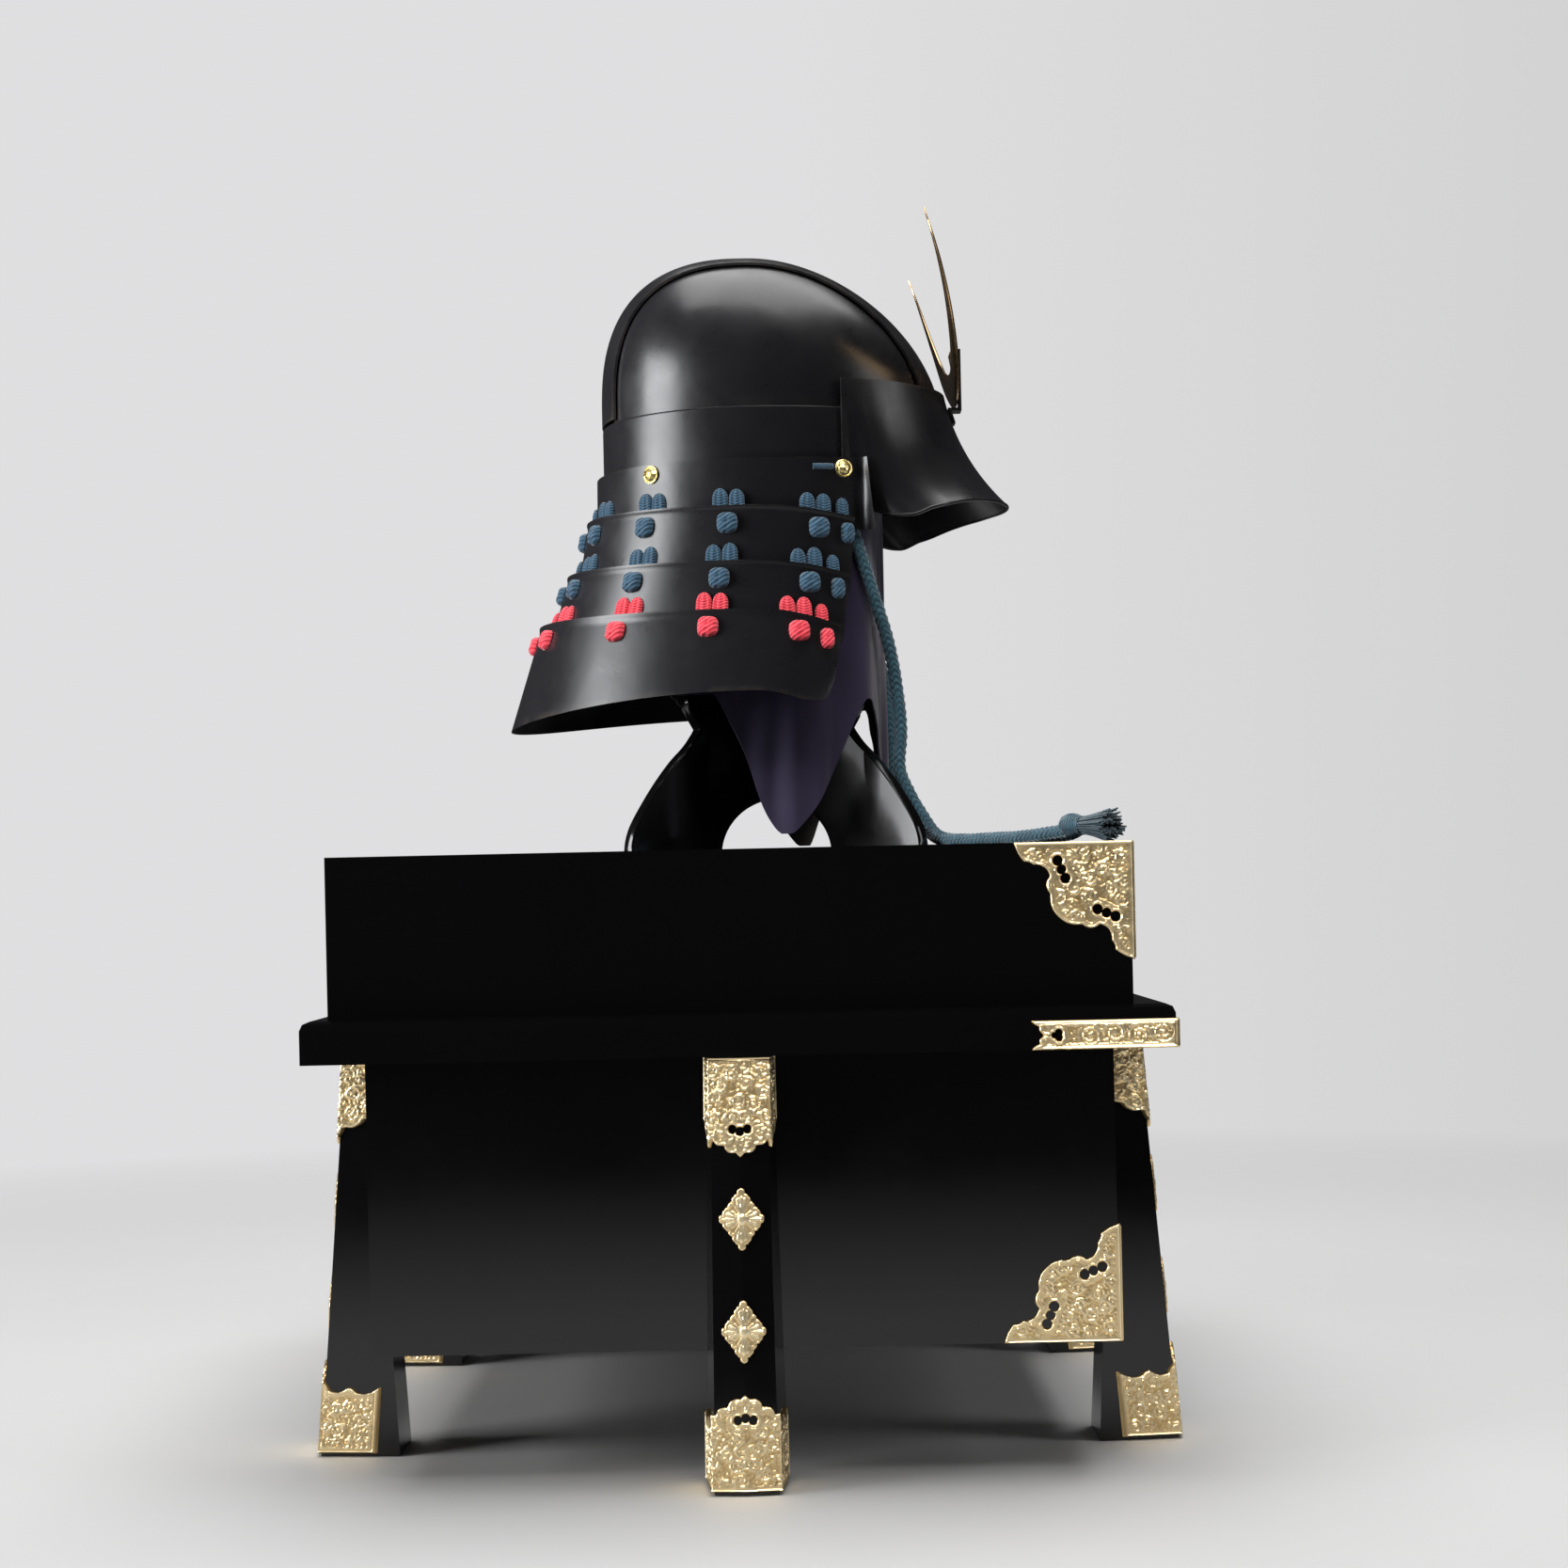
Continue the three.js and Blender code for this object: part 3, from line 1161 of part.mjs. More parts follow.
function tassel() {
  const profile = TASSEL_PROFILE.map(({ along, radius }) => [
    radius * TASSEL_RADIUS,
    along * TASSEL_LENGTH,
  ]);
  const from = vec(189.5, -204.5, LID_TOP_Z + GAP + TASSEL_RADIUS);
  const heading = vec(0.6, -0.79, 0).normalize();
  const start = from.addScaledVector(heading, CORD_RADIUS);
  return turned(profile, { point: start, normal: heading }, 12);
}

addPiece('chest_box', chestBox(), CHEST_LACQUER);
addPiece('chest_lid', chestLid(), CHEST_LACQUER);
addLegs();
addCornerPlates();
addPiece('crown_plate', crownPlate(), HELMET_LACQUER);
addPiece('side_plate_near', sidePlate(-1), HELMET_LACQUER);
addPiece('side_plate_far', sidePlate(1), HELMET_LACQUER);
addPiece('waist_band', cut(waistBand(), rivetHoles()), HELMET_LACQUER);
addPiece('brow_plate', browPlate(), HELMET_LACQUER);
LAMES.forEach((lame, index) => {
  const holes = [...laceHoles(index), ...(index === 0 ? rivetHoles() : [])];
  addPiece(`neck_lame_${index + 1}`, cut(lameSheet(lame, index), holes), HELMET_LACQUER);
});
addRivets();
for (const { column, side, name } of laceList()) addPiece(name, lace(column, side), LACE);
addPiece('crest', crest(), CREST_GOLD);
addPiece('crest_socket', crestSocket(), CREST_GOLD);
addPiece('crest_bracket', crestBracket(), HELMET_LACQUER);
addPiece('stand_board_a', standBoard(rad(45), true), STAND_LACQUER);
addPiece('stand_board_b', standBoard(rad(-45), false), STAND_LACQUER);
addPiece('stand_cloth', standCloth(), CLOTH_PURPLE);
addPiece('chin_cord_near', cordTube(CORD_NEAR), CORD);
addPiece('chin_cord_far', cordTube(CORD_FAR), CORD);
addPiece('cord_tassel', tassel(), CORD);

export default model;
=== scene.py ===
"""The dressed kabuto helmet on its stand and armour chest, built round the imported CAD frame.
Sizes are millimetres, as in the part's source, and every mesh is scaled to metres when it is made."""

import json
import math
import random

import bpy
import numpy as np
from mathutils import Matrix, Vector

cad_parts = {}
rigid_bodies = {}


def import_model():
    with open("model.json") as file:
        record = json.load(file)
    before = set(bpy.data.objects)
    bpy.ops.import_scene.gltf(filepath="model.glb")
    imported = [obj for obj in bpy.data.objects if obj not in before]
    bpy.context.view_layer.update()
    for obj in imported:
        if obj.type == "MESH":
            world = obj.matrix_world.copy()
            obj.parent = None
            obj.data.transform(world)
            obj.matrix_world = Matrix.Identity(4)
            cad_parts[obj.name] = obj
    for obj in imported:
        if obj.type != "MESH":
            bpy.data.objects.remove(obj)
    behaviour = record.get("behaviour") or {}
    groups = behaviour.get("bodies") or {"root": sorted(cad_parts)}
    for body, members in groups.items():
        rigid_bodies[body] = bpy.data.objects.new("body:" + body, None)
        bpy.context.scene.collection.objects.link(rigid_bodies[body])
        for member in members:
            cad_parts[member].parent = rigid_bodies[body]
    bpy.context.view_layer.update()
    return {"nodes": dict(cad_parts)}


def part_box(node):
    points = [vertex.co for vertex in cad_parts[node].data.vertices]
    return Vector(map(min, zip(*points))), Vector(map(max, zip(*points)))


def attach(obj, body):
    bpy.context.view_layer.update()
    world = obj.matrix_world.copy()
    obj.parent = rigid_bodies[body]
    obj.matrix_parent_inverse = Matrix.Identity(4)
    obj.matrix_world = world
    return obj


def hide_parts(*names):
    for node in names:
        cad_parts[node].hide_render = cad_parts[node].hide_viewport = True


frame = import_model()
nodes = frame["nodes"]

# Sizes that the part's source names
GAP = 0.3
BOX_HALF = (210.0, 250.0)
BOX_OFF_FLOOR = 72.0
MOULDING_Z = 238.0
MOULDING_HALF = (241.0, 281.0)
LID_FRONT_X = 220.04
LID_HALF_Y = 264.0
LID_TOP_Z = 352.4
LEG_TOP_Z = MOULDING_Z - GAP
SEAM_Z = 630.0
BOWL_X = 10.0
BOWL_FRONT = 124.0
BOWL_BACK = 92.6
BOWL_HALF_WIDTH = 88.0
BOWL_HEIGHT = 107.6
BOWL_UPRIGHT = 10.0
SIDE_PLATE_Y = 34.0
SIDE_PLATE_SHEET = 1.8
CROWN_HALF_WIDTH = 40.0
CROWN_IN = 1.2
CROWN_OUT = 2.6
BAND_IN = 0.6
BAND_OUT = 2.2
BROW_OUT = 4.5
BROW_SHEET = 1.6
LAME_OUT = 6.6
LAME_SHEET = 1.5
STAND_X = 22.6
STAND_HALF_WIDTH = 80.0
SIDES = (("near", -1), ("far", 1))


# Camera
def make_camera():
    data = bpy.data.cameras.new("camera")
    camera = bpy.data.objects.new("camera", data)
    bpy.context.scene.collection.objects.link(camera)
    data.sensor_width = 36.0
    data.lens = 61.4
    data.shift_x = -0.0015
    data.shift_y = 0.067
    data.clip_start = 0.05
    data.clip_end = 100
    camera.location = (0.0285, -1.75, 0.3294)
    look = Matrix.Rotation(math.radians(90), 4, "X") @ Matrix.Rotation(math.radians(-1.25), 4, "Z")
    camera.rotation_euler = look.to_euler()
    bpy.context.scene.camera = camera


make_camera()


# Node materials
def add_node(tree, kind, inputs=None, **settings):
    """A node with its settings, and inputs that are numbers, colours or other nodes' sockets."""
    made = tree.nodes.new(kind)
    for key, value in settings.items():
        setattr(made, key, value)
    for key, value in (inputs or {}).items():
        if isinstance(value, bpy.types.NodeSocket):
            tree.links.new(value, made.inputs[key])
        else:
            made.inputs[key].default_value = value
    return made


def colour_mix(tree, share, first, second):
    """A mix of two colours, each a socket or red, green and blue."""
    first, second = (c if isinstance(c, bpy.types.NodeSocket) else (*c, 1) for c in (first, second))
    return add_node(tree, "ShaderNodeMix", {0: share, 6: first, 7: second}, data_type="RGBA").outputs[2]


class Shader:
    """A material whose nodes are made by short calls."""

    def __init__(self, name):
        self.material = bpy.data.materials.new(name)
        self.material.use_nodes = True
        self.tree = self.material.node_tree
        self.main = self.tree.nodes["Principled BSDF"]
        self.where = self.tree.nodes.new("ShaderNodeTexCoord").outputs["Object"]

    def node(self, kind, inputs=None, **settings):
        return add_node(self.tree, kind, inputs, **settings)

    def link(self, socket, name):
        self.tree.links.new(socket, self.main.inputs[name])

    def set(self, **values):
        for key, value in values.items():
            self.main.inputs[key.replace("_", " ").title().replace("Ior", "IOR")].default_value = value

    def noise(self, scale, detail=4, rough=0.55, stretch=None):
        place = self.where
        if stretch:
            place = self.node("ShaderNodeMapping", {"Vector": place, "Scale": stretch}).outputs[0]
        inputs = {"Vector": place, "Scale": scale, "Detail": detail, "Roughness": rough}
        return self.node("ShaderNodeTexNoise", inputs).outputs["Fac"]

    def ranged(self, value, low, high, start=0.0, end=1.0):
        inputs = {"Value": value, "From Min": start, "From Max": end, "To Min": low, "To Max": high}
        return self.node("ShaderNodeMapRange", inputs).outputs[0]

    def blend(self, share, first, second):
        return colour_mix(self.tree, share, first, second)

    def math(self, operation, first, second=0.0):
        return self.node("ShaderNodeMath", {0: first, 1: second}, operation=operation).outputs[0]

    def bump(self, height, strength, distance, after=None):
        inputs = {"Height": height, "Strength": strength, "Distance": distance}
        if after:
            inputs["Normal"] = after
        return self.node("ShaderNodeBump", inputs).outputs[0]

    def uv_parts(self):
        """The two coordinates of the UV map."""
        uv = self.node("ShaderNodeUVMap").outputs[0]
        parts = self.node("ShaderNodeSeparateXYZ", {0: uv}).outputs
        return parts[0], parts[1]


def lacquer(name, dark, light, roughness, coat, ripple):
    """Gloss black lacquer with faint ripples."""
    s = Shader(name)
    s.link(s.blend(s.noise(9, 3), dark, light), "Base Color")
    s.link(s.ranged(s.noise(26, 5), *roughness, 0.3, 0.7), "Roughness")
    s.set(coat_weight=coat, coat_roughness=0.05, ior=1.5)
    slow = s.bump(s.noise(14, 2), ripple, 0.0006)
    s.link(s.bump(s.noise(900, 2), ripple, 0.00004, slow), "Normal")
    return s.material


def helmet_lacquer():
    """Soft-gloss lacquer on iron, worn a little on its edges."""
    s = Shader("helmet_lacquer")
    wear = s.ranged(s.node("ShaderNodeNewGeometry").outputs["Pointiness"], 0, 1, 0.53, 0.6)
    patch = s.ranged(s.noise(60, 5), 0, 1, 0.42, 0.62)
    tone = s.blend(s.noise(11, 4), (0.013, 0.0125, 0.0145), (0.021, 0.0205, 0.0235))
    s.link(s.blend(s.math("MULTIPLY", wear, patch), tone, (0.05, 0.042, 0.036)), "Base Color")
    s.link(s.ranged(s.noise(34, 6, 0.6), 0.24, 0.36, 0.3, 0.7), "Roughness")
    s.set(ior=1.52)
    slow = s.bump(s.noise(20, 3), 0.35, 0.0009)
    s.link(s.bump(s.noise(700, 3), 0.25, 0.00006, slow), "Normal")
    return s.material


def gold(name, low, high, roughness, chased=False):
    """Gilt or brass. On a chased piece the raised lines are lighter than the ground."""
    s = Shader(name)
    if chased:
        share = s.node("ShaderNodeAttribute", attribute_name="relief").outputs["Fac"]
    else:
        share = s.noise(40, 4)
    s.link(s.blend(share, low, high), "Base Color")
    s.link(s.ranged(s.noise(150, 4), *roughness, 0.3, 0.7), "Roughness")
    s.set(metallic=1.0)
    s.link(s.bump(s.noise(1500, 3), 0.3, 0.00008), "Normal")
    return s.material


def braid(name, painted_groove_shade, crown):
    """Ribbed silk, with painted shade in the grooves between its ribs. The UV map runs -1 to 1 across a braid
    and counts ribs along it.
    """
    s = Shader(name)
    across, along = s.uv_parts()
    slant = s.math("MULTIPLY", s.math("ABSOLUTE", across), 0.9)
    rib = s.math("PINGPONG", s.math("ADD", along, slant), 0.5)
    rib = s.math("MULTIPLY", rib, 2.0)
    tint = s.ranged(s.noise(160, 3), 0.55, 1.0, 0.3, 0.7)
    share = s.math("MULTIPLY", s.math("POWER", rib, 0.7), tint)
    # Painted shade: the low parts of each rib take the darker first colour, as if the grooves were shaded.
    s.link(s.blend(share, painted_groove_shade, crown), "Base Color")
    s.set(roughness=0.78, sheen_weight=0.35, sheen_roughness=0.4, ior=1.4)
    thread = s.bump(s.noise(2600, 2, stretch=(1, 1, 0.4)), 0.3, 0.0001)
    s.link(s.bump(rib, 0.9, 0.0006, thread), "Normal")
    return s.material


def cloth(name, dark, light):
    """Plain weave. The UV map is in millimetres of cloth."""
    s = Shader(name)
    warp, weft = (s.math("PINGPONG", s.math("MULTIPLY", part, 1.7), 0.5) for part in s.uv_parts())
    weave = s.math("MULTIPLY", s.math("MULTIPLY", warp, weft), 4.0)
    tone = s.blend(s.noise(70, 5), dark, light)
    s.link(s.blend(s.math("MULTIPLY", weave, 0.5), tone, dark), "Base Color")
    s.set(roughness=0.88, sheen_weight=0.3, sheen_roughness=0.5, ior=1.4)
    slub = s.bump(s.noise(320, 4, stretch=(1, 1, 0.3)), 0.35, 0.0003)
    s.link(s.bump(weave, 0.5, 0.0002, slub), "Normal")
    return s.material


CHEST = lacquer("chest_lacquer", (0.0032, 0.0028, 0.0032), (0.0045, 0.004, 0.0044), (0.05, 0.11), 0.05, 0.06)
STAND = lacquer("stand_lacquer", (0.004, 0.0036, 0.0038), (0.0065, 0.006, 0.006), (0.1, 0.2), 0.1, 0.12)
HELMET = helmet_lacquer()
GILT = gold("gilt", (0.75, 0.52, 0.23), (1.0, 0.85, 0.55), (0.3, 0.42), chased=True)
BRASS = gold("brass", (0.7, 0.55, 0.2), (0.82, 0.68, 0.32), (0.22, 0.34))
CREST = gold("crest_gold", (0.46, 0.29, 0.14), (0.64, 0.43, 0.22), (0.2, 0.3))
# Each braid's first colour is painted shade for the grooves between its ribs; the second is the silk's own
# colour.
BLUE = braid("lace_blue", (0.012, 0.034, 0.06), (0.05, 0.125, 0.2))
RED = braid("lace_red", (0.5, 0.014, 0.028), (1.0, 0.1, 0.14))
CORD = braid("cord_teal", (0.008, 0.028, 0.042), (0.05, 0.13, 0.175))
PURPLE = cloth("cloth_purple", (0.008, 0.005, 0.02), (0.02, 0.011, 0.045))
REVERSE = cloth("cloth_reverse", (0.13, 0.115, 0.1), (0.22, 0.2, 0.18))


# Meshes
def link_mesh(name, points, faces, materials, material_of=None, uv=None, relief=None, sharp=35):
    """An object from points in millimetres. uv has a pair and relief a number for each point."""
    mesh = bpy.data.meshes.new(name)
    mesh.from_pydata((np.asarray(points, float) * 0.001).tolist(), [], [list(map(int, f)) for f in faces])
    for m in materials:
        mesh.materials.append(m)
    mesh.polygons.foreach_set("use_smooth", [True] * len(mesh.polygons))
    if material_of is not None:
        mesh.polygons.foreach_set("material_index", material_of)
    if uv is not None:
        layer = mesh.uv_layers.new(name="UVMap")
        order = np.zeros(len(mesh.loops), np.int32)
        mesh.loops.foreach_get("vertex_index", order)
        layer.data.foreach_set("uv", np.asarray(uv, np.float32)[order].ravel())
    if relief is not None:
        layer = mesh.attributes.new("relief", "FLOAT", "POINT")
        layer.data.foreach_set("value", np.asarray(relief, np.float32))
    mesh.update()
    if sharp:
        mesh.set_sharp_from_angle(angle=math.radians(sharp))
    piece = bpy.data.objects.new(name, mesh)
    bpy.context.scene.collection.objects.link(piece)
    return piece


def settle(piece, slot, *replaced):
    """Rides a piece on the body and hides the nodes that it replaces. Its slot is not used."""
    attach(piece, "root")
    if replaced:
        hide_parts(*replaced)
    return piece


def grid_faces(rows, columns, first=0, closed=False, flip=False):
    last = columns if closed else columns - 1
    r, c = np.meshgrid(np.arange(rows - 1), np.arange(last), indexing="ij")
    r, c = r.ravel(), c.ravel()
    after = (c + 1) % columns
    row, below = r * columns, (r + 1) * columns
    quads = np.stack([row + c, row + after, below + after, below + c], 1)
    return (quads[:, ::-1] if flip else quads) + first


def tube_faces(rings, around):
    """Faces of rings of points joined to a tube, with a cap on each end."""
    faces = grid_faces(rings, around, 0, closed=True).tolist()
    faces.append(list(range(around)))
    faces.append(list(range((rings - 1) * around, rings * around))[::-1])
    return faces


def joined(parts):
    """Several meshes as one. Each is points, faces and a value for each point."""
    points, faces, values, first = [], [], [], 0
    for part_points, part_faces, part_values in parts:
        points.append(part_points)
        faces += [[i + first for i in face] for face in part_faces]
        values.append(part_values)
        first += len(part_points)
    return np.concatenate(points), faces, np.concatenate(values)


def lengths_along(path):
    """The length of a path up to each of its points."""
    return np.concatenate([[0], np.cumsum(np.linalg.norm(np.diff(path, axis=0), axis=1))])


def evened(path, steps):
    """The same path with its points in even steps."""
    length = lengths_along(path)
    even = np.linspace(0, length[-1], steps)
    return np.stack([np.interp(even, length, path[:, k]) for k in range(path.shape[1])], 1)


def normals_of(grid, closed=False):
    """Unit normals of a grid of points, rows by columns."""
    along = np.gradient(grid, axis=1)
    if closed:
        along = (np.roll(grid, -1, 1) - np.roll(grid, 1, 1)) / 2
    down = np.gradient(grid, axis=0)
    normal = np.cross(along, down)
    return normal / np.maximum(np.linalg.norm(normal, axis=2, keepdims=True), 1e-9)


def other_side(outer, middle_x, down, thick, closed=False):
    """A sheet's other side: its grid moved by its thickness towards the middle and down."""
    normal = normals_of(outer, closed)
    inward = np.stack([middle_x - outer[..., 0], -outer[..., 1], np.full(outer.shape[:2], -down)], 2)
    normal *= np.sign((normal * inward).sum(2, keepdims=True))
    return outer + normal * thick


def shell(outer, inner, closed=False):
    """A closed sheet between two grids: its points, its faces, and 0, 1 or 2 for outer, inner or edge."""
    rows, columns = outer.shape[:2]
    size = rows * columns
    points = np.concatenate([outer.reshape(-1, 3), inner.reshape(-1, 3)])
    face_out = grid_faces(rows, columns, 0, closed)
    face_in = grid_faces(rows, columns, size, closed, flip=True)
    edge = []
    last = columns if closed else columns - 1
    for c in range(last):
        n = (c + 1) % columns
        edge.append([n, c, size + c, size + n])
        b = (rows - 1) * columns
        edge.append([b + c, b + n, size + b + n, size + b + c])
    if not closed:
        for r in range(rows - 1):
            a, b = r * columns, (r + 1) * columns
            edge.append([a, b, size + b, size + a])
            a, b = a + columns - 1, b + columns - 1
            edge.append([b, a, size + a, size + b])
    faces = np.concatenate([face_out, face_in, np.array(edge)])
    kind = [0] * len(face_out) + [1] * len(face_in) + [2] * len(edge)
    volume = signed_volume(points, faces)
    return points, (faces[:, ::-1] if volume < 0 else faces), kind


def signed_volume(points, faces):
    a, b, c, d = (points[faces[:, i]] for i in range(4))
    return (np.einsum("ij,ij->i", a, np.cross(b, c)) + np.einsum("ij,ij->i", a, np.cross(c, d))).sum()


def helmet_sheet(name, node, outer, inner, closed=False):
    """A lacquered sheet between two grids, in place of a node of the part."""
    points, faces, _ = shell(outer, inner, closed)
    settle(link_mesh(name, points, faces, [HELMET], sharp=50), "helmet_lacquer", node)


def tube(path, radius_of, around, rib=1.5):
    """A closed tube round a path, whose radius is given by length and angle, with UVs that count ribs."""
    path = np.asarray(path, float)
    tangent = np.gradient(path, axis=0)
    tangent /= np.linalg.norm(tangent, axis=1, keepdims=True)
    across = np.cross(tangent[0], [0, 0, 1.0])
    if np.linalg.norm(across) < 0.1:
        across = np.cross(tangent[0], [1.0, 0, 0])
    length = lengths_along(path)
    points, uv = [], []
    for i, place in enumerate(path):
        across = across - tangent[i] * across.dot(tangent[i])
        across /= np.linalg.norm(across)
        other = np.cross(tangent[i], across)
        for k in range(around):
            turn = 2 * math.pi * k / around
            r = radius_of(length[i], turn, length[-1])
            points.append(place + r * (math.cos(turn) * across + math.sin(turn) * other))
            uv.append([math.cos(2 * turn), length[i] / rib])
    return np.array(points), tube_faces(len(path), around), uv


def spline(places, steps):
    """A smooth curve through places, in even steps."""
    p = np.asarray(places, float)
    p = np.concatenate([[2 * p[0] - p[1]], p, [2 * p[-1] - p[-2]]])
    fine = []
    for i in range(1, len(p) - 2):
        for t in np.linspace(0, 1, 24, endpoint=False):
            a = 2 * p[i] + (p[i + 1] - p[i - 1]) * t
            b = (2 * p[i - 1] - 5 * p[i] + 4 * p[i + 1] - p[i + 2]) * t * t
            c = (3 * p[i] - p[i - 1] - 3 * p[i + 1] + p[i + 2]) * t**3
            fine.append((a + b + c) / 2)
    return evened(np.array([*fine, p[-2]]), steps)


# Chin cord and its tassel
CORD_RADIUS = 4.25
REST = LID_TOP_Z + GAP + CORD_RADIUS
CORD_NEAR = [
    (61, -71.5, 594), (67, -71.5, 574), (77, -69, 548), (87, -66, 515), (96, -59, 485), (101, -52, 458),
    (103.5, -50, 430), (102, -52, 405), (108, -55, 388), (116, -60, 373), (122, -70, 363),
    (128, -86, REST + 1.5), (140, -112, REST), (154, -140, REST), (168, -172, REST), (191, -212, REST + 2.5),
]
CORD_FAR = [
    (61, 71.5, 594), (67, 71.5, 574), (77, 69, 548), (86, 66, 515), (94, 59, 485), (99, 51, 458),
    (101, 47, 430), (102, 43, 405), (108, 34, 388), (117, 14, 373), (125, -14, 362),
    (132, -44, REST + 1.5), (139, -76, REST), (152, -110, REST), (167, -144, REST), (180, -170, REST),
    (192.5, -197, REST + 1), (196, -210.5, REST + 2.5),
]


def braided(length, turn, total):
    """The radius of a round braid of eight strands."""
    phase = length * 0.62
    cross = abs(math.cos(2 * turn + phase)) * abs(math.cos(2 * turn - phase))
    return CORD_RADIUS * (0.8 + 0.22 * math.sqrt(cross))


def chin_cord(end, places):
    """One run of the chin cord: its piece and its path."""
    path = spline(places, int(lengths_along(spline(places, 200))[-1] / 1.1))
    points, faces, uv = tube(path, braided, 24, rib=4.2)
    braid_mesh = link_mesh(f"chin_braid_{end}", points, faces, [CORD], uv=uv, sharp=0)
    return settle(braid_mesh, "cord", f"chin_cord_{end}"), path


def tassel():
    """A bound head and a spray of cut threads, lying on the lid."""
    start = np.array([192.05, -207.86, LID_TOP_Z + GAP + 9.5])
    heading = np.array([0.6, -0.79, 0.0])
    heading /= np.linalg.norm(heading)
    side = np.array([-heading[1], heading[0], 0])
    up = np.array([0, 0, 1.0])
    pieces = []

    def head_radius(length, turn, total):
        share = length / total
        wrap = 0.35 * abs(math.sin(length * 1.9))
        swell = 1.8 * math.sin(math.pi * min(1, share * 1.15))
        return (5.2 + swell + wrap) * (0.35 + 0.65 * min(1, share * 9))

    path = [start + heading * t for t in np.linspace(-4, 12, 48)]
    pieces.append(tube(path, head_radius, 28))
    chooser = random.Random(5)
    for i in range(150):
        turn = chooser.uniform(0, 2 * math.pi)
        spread = math.sqrt(chooser.uniform(0.02, 1))
        reach = chooser.uniform(24, 29)
        low, high = 4.6 * spread, 9.0 * spread
        fray = chooser.uniform(-1.2, 1.2)
        points = []
        for t in np.linspace(0, 1, 9):
            r = low + (high - low) * t**1.3 + fray * t * t
            height = r * math.sin(turn)
            droop = 1.5 * t * t if height < 0 else 0.5 * t
            wave = 0.5 * math.sin(4 * t + i)
            p = start + heading * (10 + reach * t)
            p = p + side * (r * math.cos(turn) + wave * t) + up * (height - droop)
            p[2] = max(p[2], LID_TOP_Z + 0.7)
            points.append(p)
        pieces.append(tube(points, lambda length, turn, total: 0.55, 5))
    points, faces, uv = joined(pieces)
    return settle(link_mesh("tassel_threads", points, faces, [CORD], uv=uv), "cord", "cord_tassel")


runs = [chin_cord("near", CORD_NEAR), chin_cord("far", CORD_FAR)]
threads = tassel()
for run, path in runs:
    metres = path * 0.001
    tuple(metres[0])
    lengths_along(metres)[-1]


# Chest: the CAD solids with rounded edges
def dress(name, material, bevel, segments=3):
    node = nodes[name]
    node.data.materials.clear()
    node.data.materials.append(material)
    if bevel:
        edge = node.modifiers.new("edge", "BEVEL")
        edge.width = bevel * 0.001
        edge.segments = segments
        edge.limit_method = "ANGLE"
        edge.angle_limit = math.radians(40)
        edge.harden_normals = True
    return node


dress("chest_box", CHEST, 1.6)
dress("chest_lid", CHEST, 1.6, 4)
for leg in ("front_near", "front_far", "back_near", "back_far", "side_near", "side_far"):
    dress(f"leg_{leg}", CHEST, 1.0)


# Gilt plates: outlines with inner distances, and their relief
def lobed(points, bulge):
    """A closed outline whose sides are arcs that stand out by a share of their length."""
    points = np.asarray(points, float)
    centre = points.mean(0)
    made = []
    for a, b, share in zip(points, np.roll(points, -1, 0), np.broadcast_to(bulge, len(points))):
        out = np.array([b[1] - a[1], a[0] - b[0]])
        if out @ ((a + b) / 2 - centre) < 0:
            out = -out
        for t in np.linspace(0, 1, 7 if share else 1, endpoint=False):
            made.append(a + (b - a) * t + out * share * 4 * t * (1 - t))
    return np.array(made)


def inner_distance(points, outline, holes=()):
    """How far each point lies inside the outline and clear of the holes: below 0 is outside."""
    a = outline
    b = np.roll(outline, -1, 0)
    best = np.full(len(points), 1e9)
    inside = np.zeros(len(points), bool)
    for p, q in zip(a, b):
        d = q - p
        t = np.clip(((points - p) @ d) / max(d @ d, 1e-12), 0, 1)
        best = np.minimum(best, np.linalg.norm(points - p - t[:, None] * d, axis=1))
        if p[1] != q[1]:
            crosses = (p[1] > points[:, 1]) != (q[1] > points[:, 1])
            x = p[0] + (points[:, 1] - p[1]) * d[0] / d[1]
            inside ^= crosses & (points[:, 0] < x)
    signed = np.where(inside, best, -best)
    for x, y, r in holes:
        signed = np.minimum(signed, np.hypot(points[:, 0] - x, points[:, 1] - y) - r)
    return signed


def ridge(distance, at, width):
    """A raised line at a distance from the edge."""
    return np.clip(1 - np.abs(distance - at) / width, 0, 1) ** 0.8


def scrolls(points, centres):
    """Curling tendrils with leaves: the height, from 0 to 1, of raised spirals round their centres."""
    height = np.zeros(len(points))
    for n, (x, y, size, start) in enumerate(centres):
        dx, dy = points[:, 0] - x, points[:, 1] - y
        r = np.hypot(dx, dy)
        hand = 1 if n % 2 else -1
        turn = (hand * np.arctan2(dy, dx) + start) / (2 * math.pi)
        pitch = size * 0.52
        line = np.abs(((r / pitch - turn) % 1) - 0.5) * pitch
        thick = 0.32 + 0.22 * (r / size)
        arm = np.clip(1.25 - line / thick, 0, 1) * (r < size)
        bud = np.clip(1.2 - r / (size * 0.2), 0, 1)
        leaf_turn = (hand * np.arctan2(dy, dx) + start) * 3
        leaf = np.clip(1.1 - np.abs(r - size * 1.02) / (size * 0.2), 0, 1) * (np.cos(leaf_turn) > 0.15)
        height = np.maximum(height, np.maximum(arm, np.maximum(bud, leaf * 0.9)))
    return height


def scatter(outline, spacing, seed, holes=()):
    """Places for scrolls, a spacing apart inside an outline."""
    chooser = random.Random(seed)
    low, high = outline.min(0), outline.max(0)
    found = []
    for _ in range(900):
        p = np.array([[chooser.uniform(low[0], high[0]), chooser.uniform(low[1], high[1])]])
        if inner_distance(p, outline, holes)[0] < spacing * 0.45:
            continue
        if all(math.hypot(p[0][0] - x, p[0][1] - y) > spacing for x, y, _, _ in found):
            found.append((p[0][0], p[0][1], spacing * 0.52, chooser.uniform(0, 6.28)))
    return found


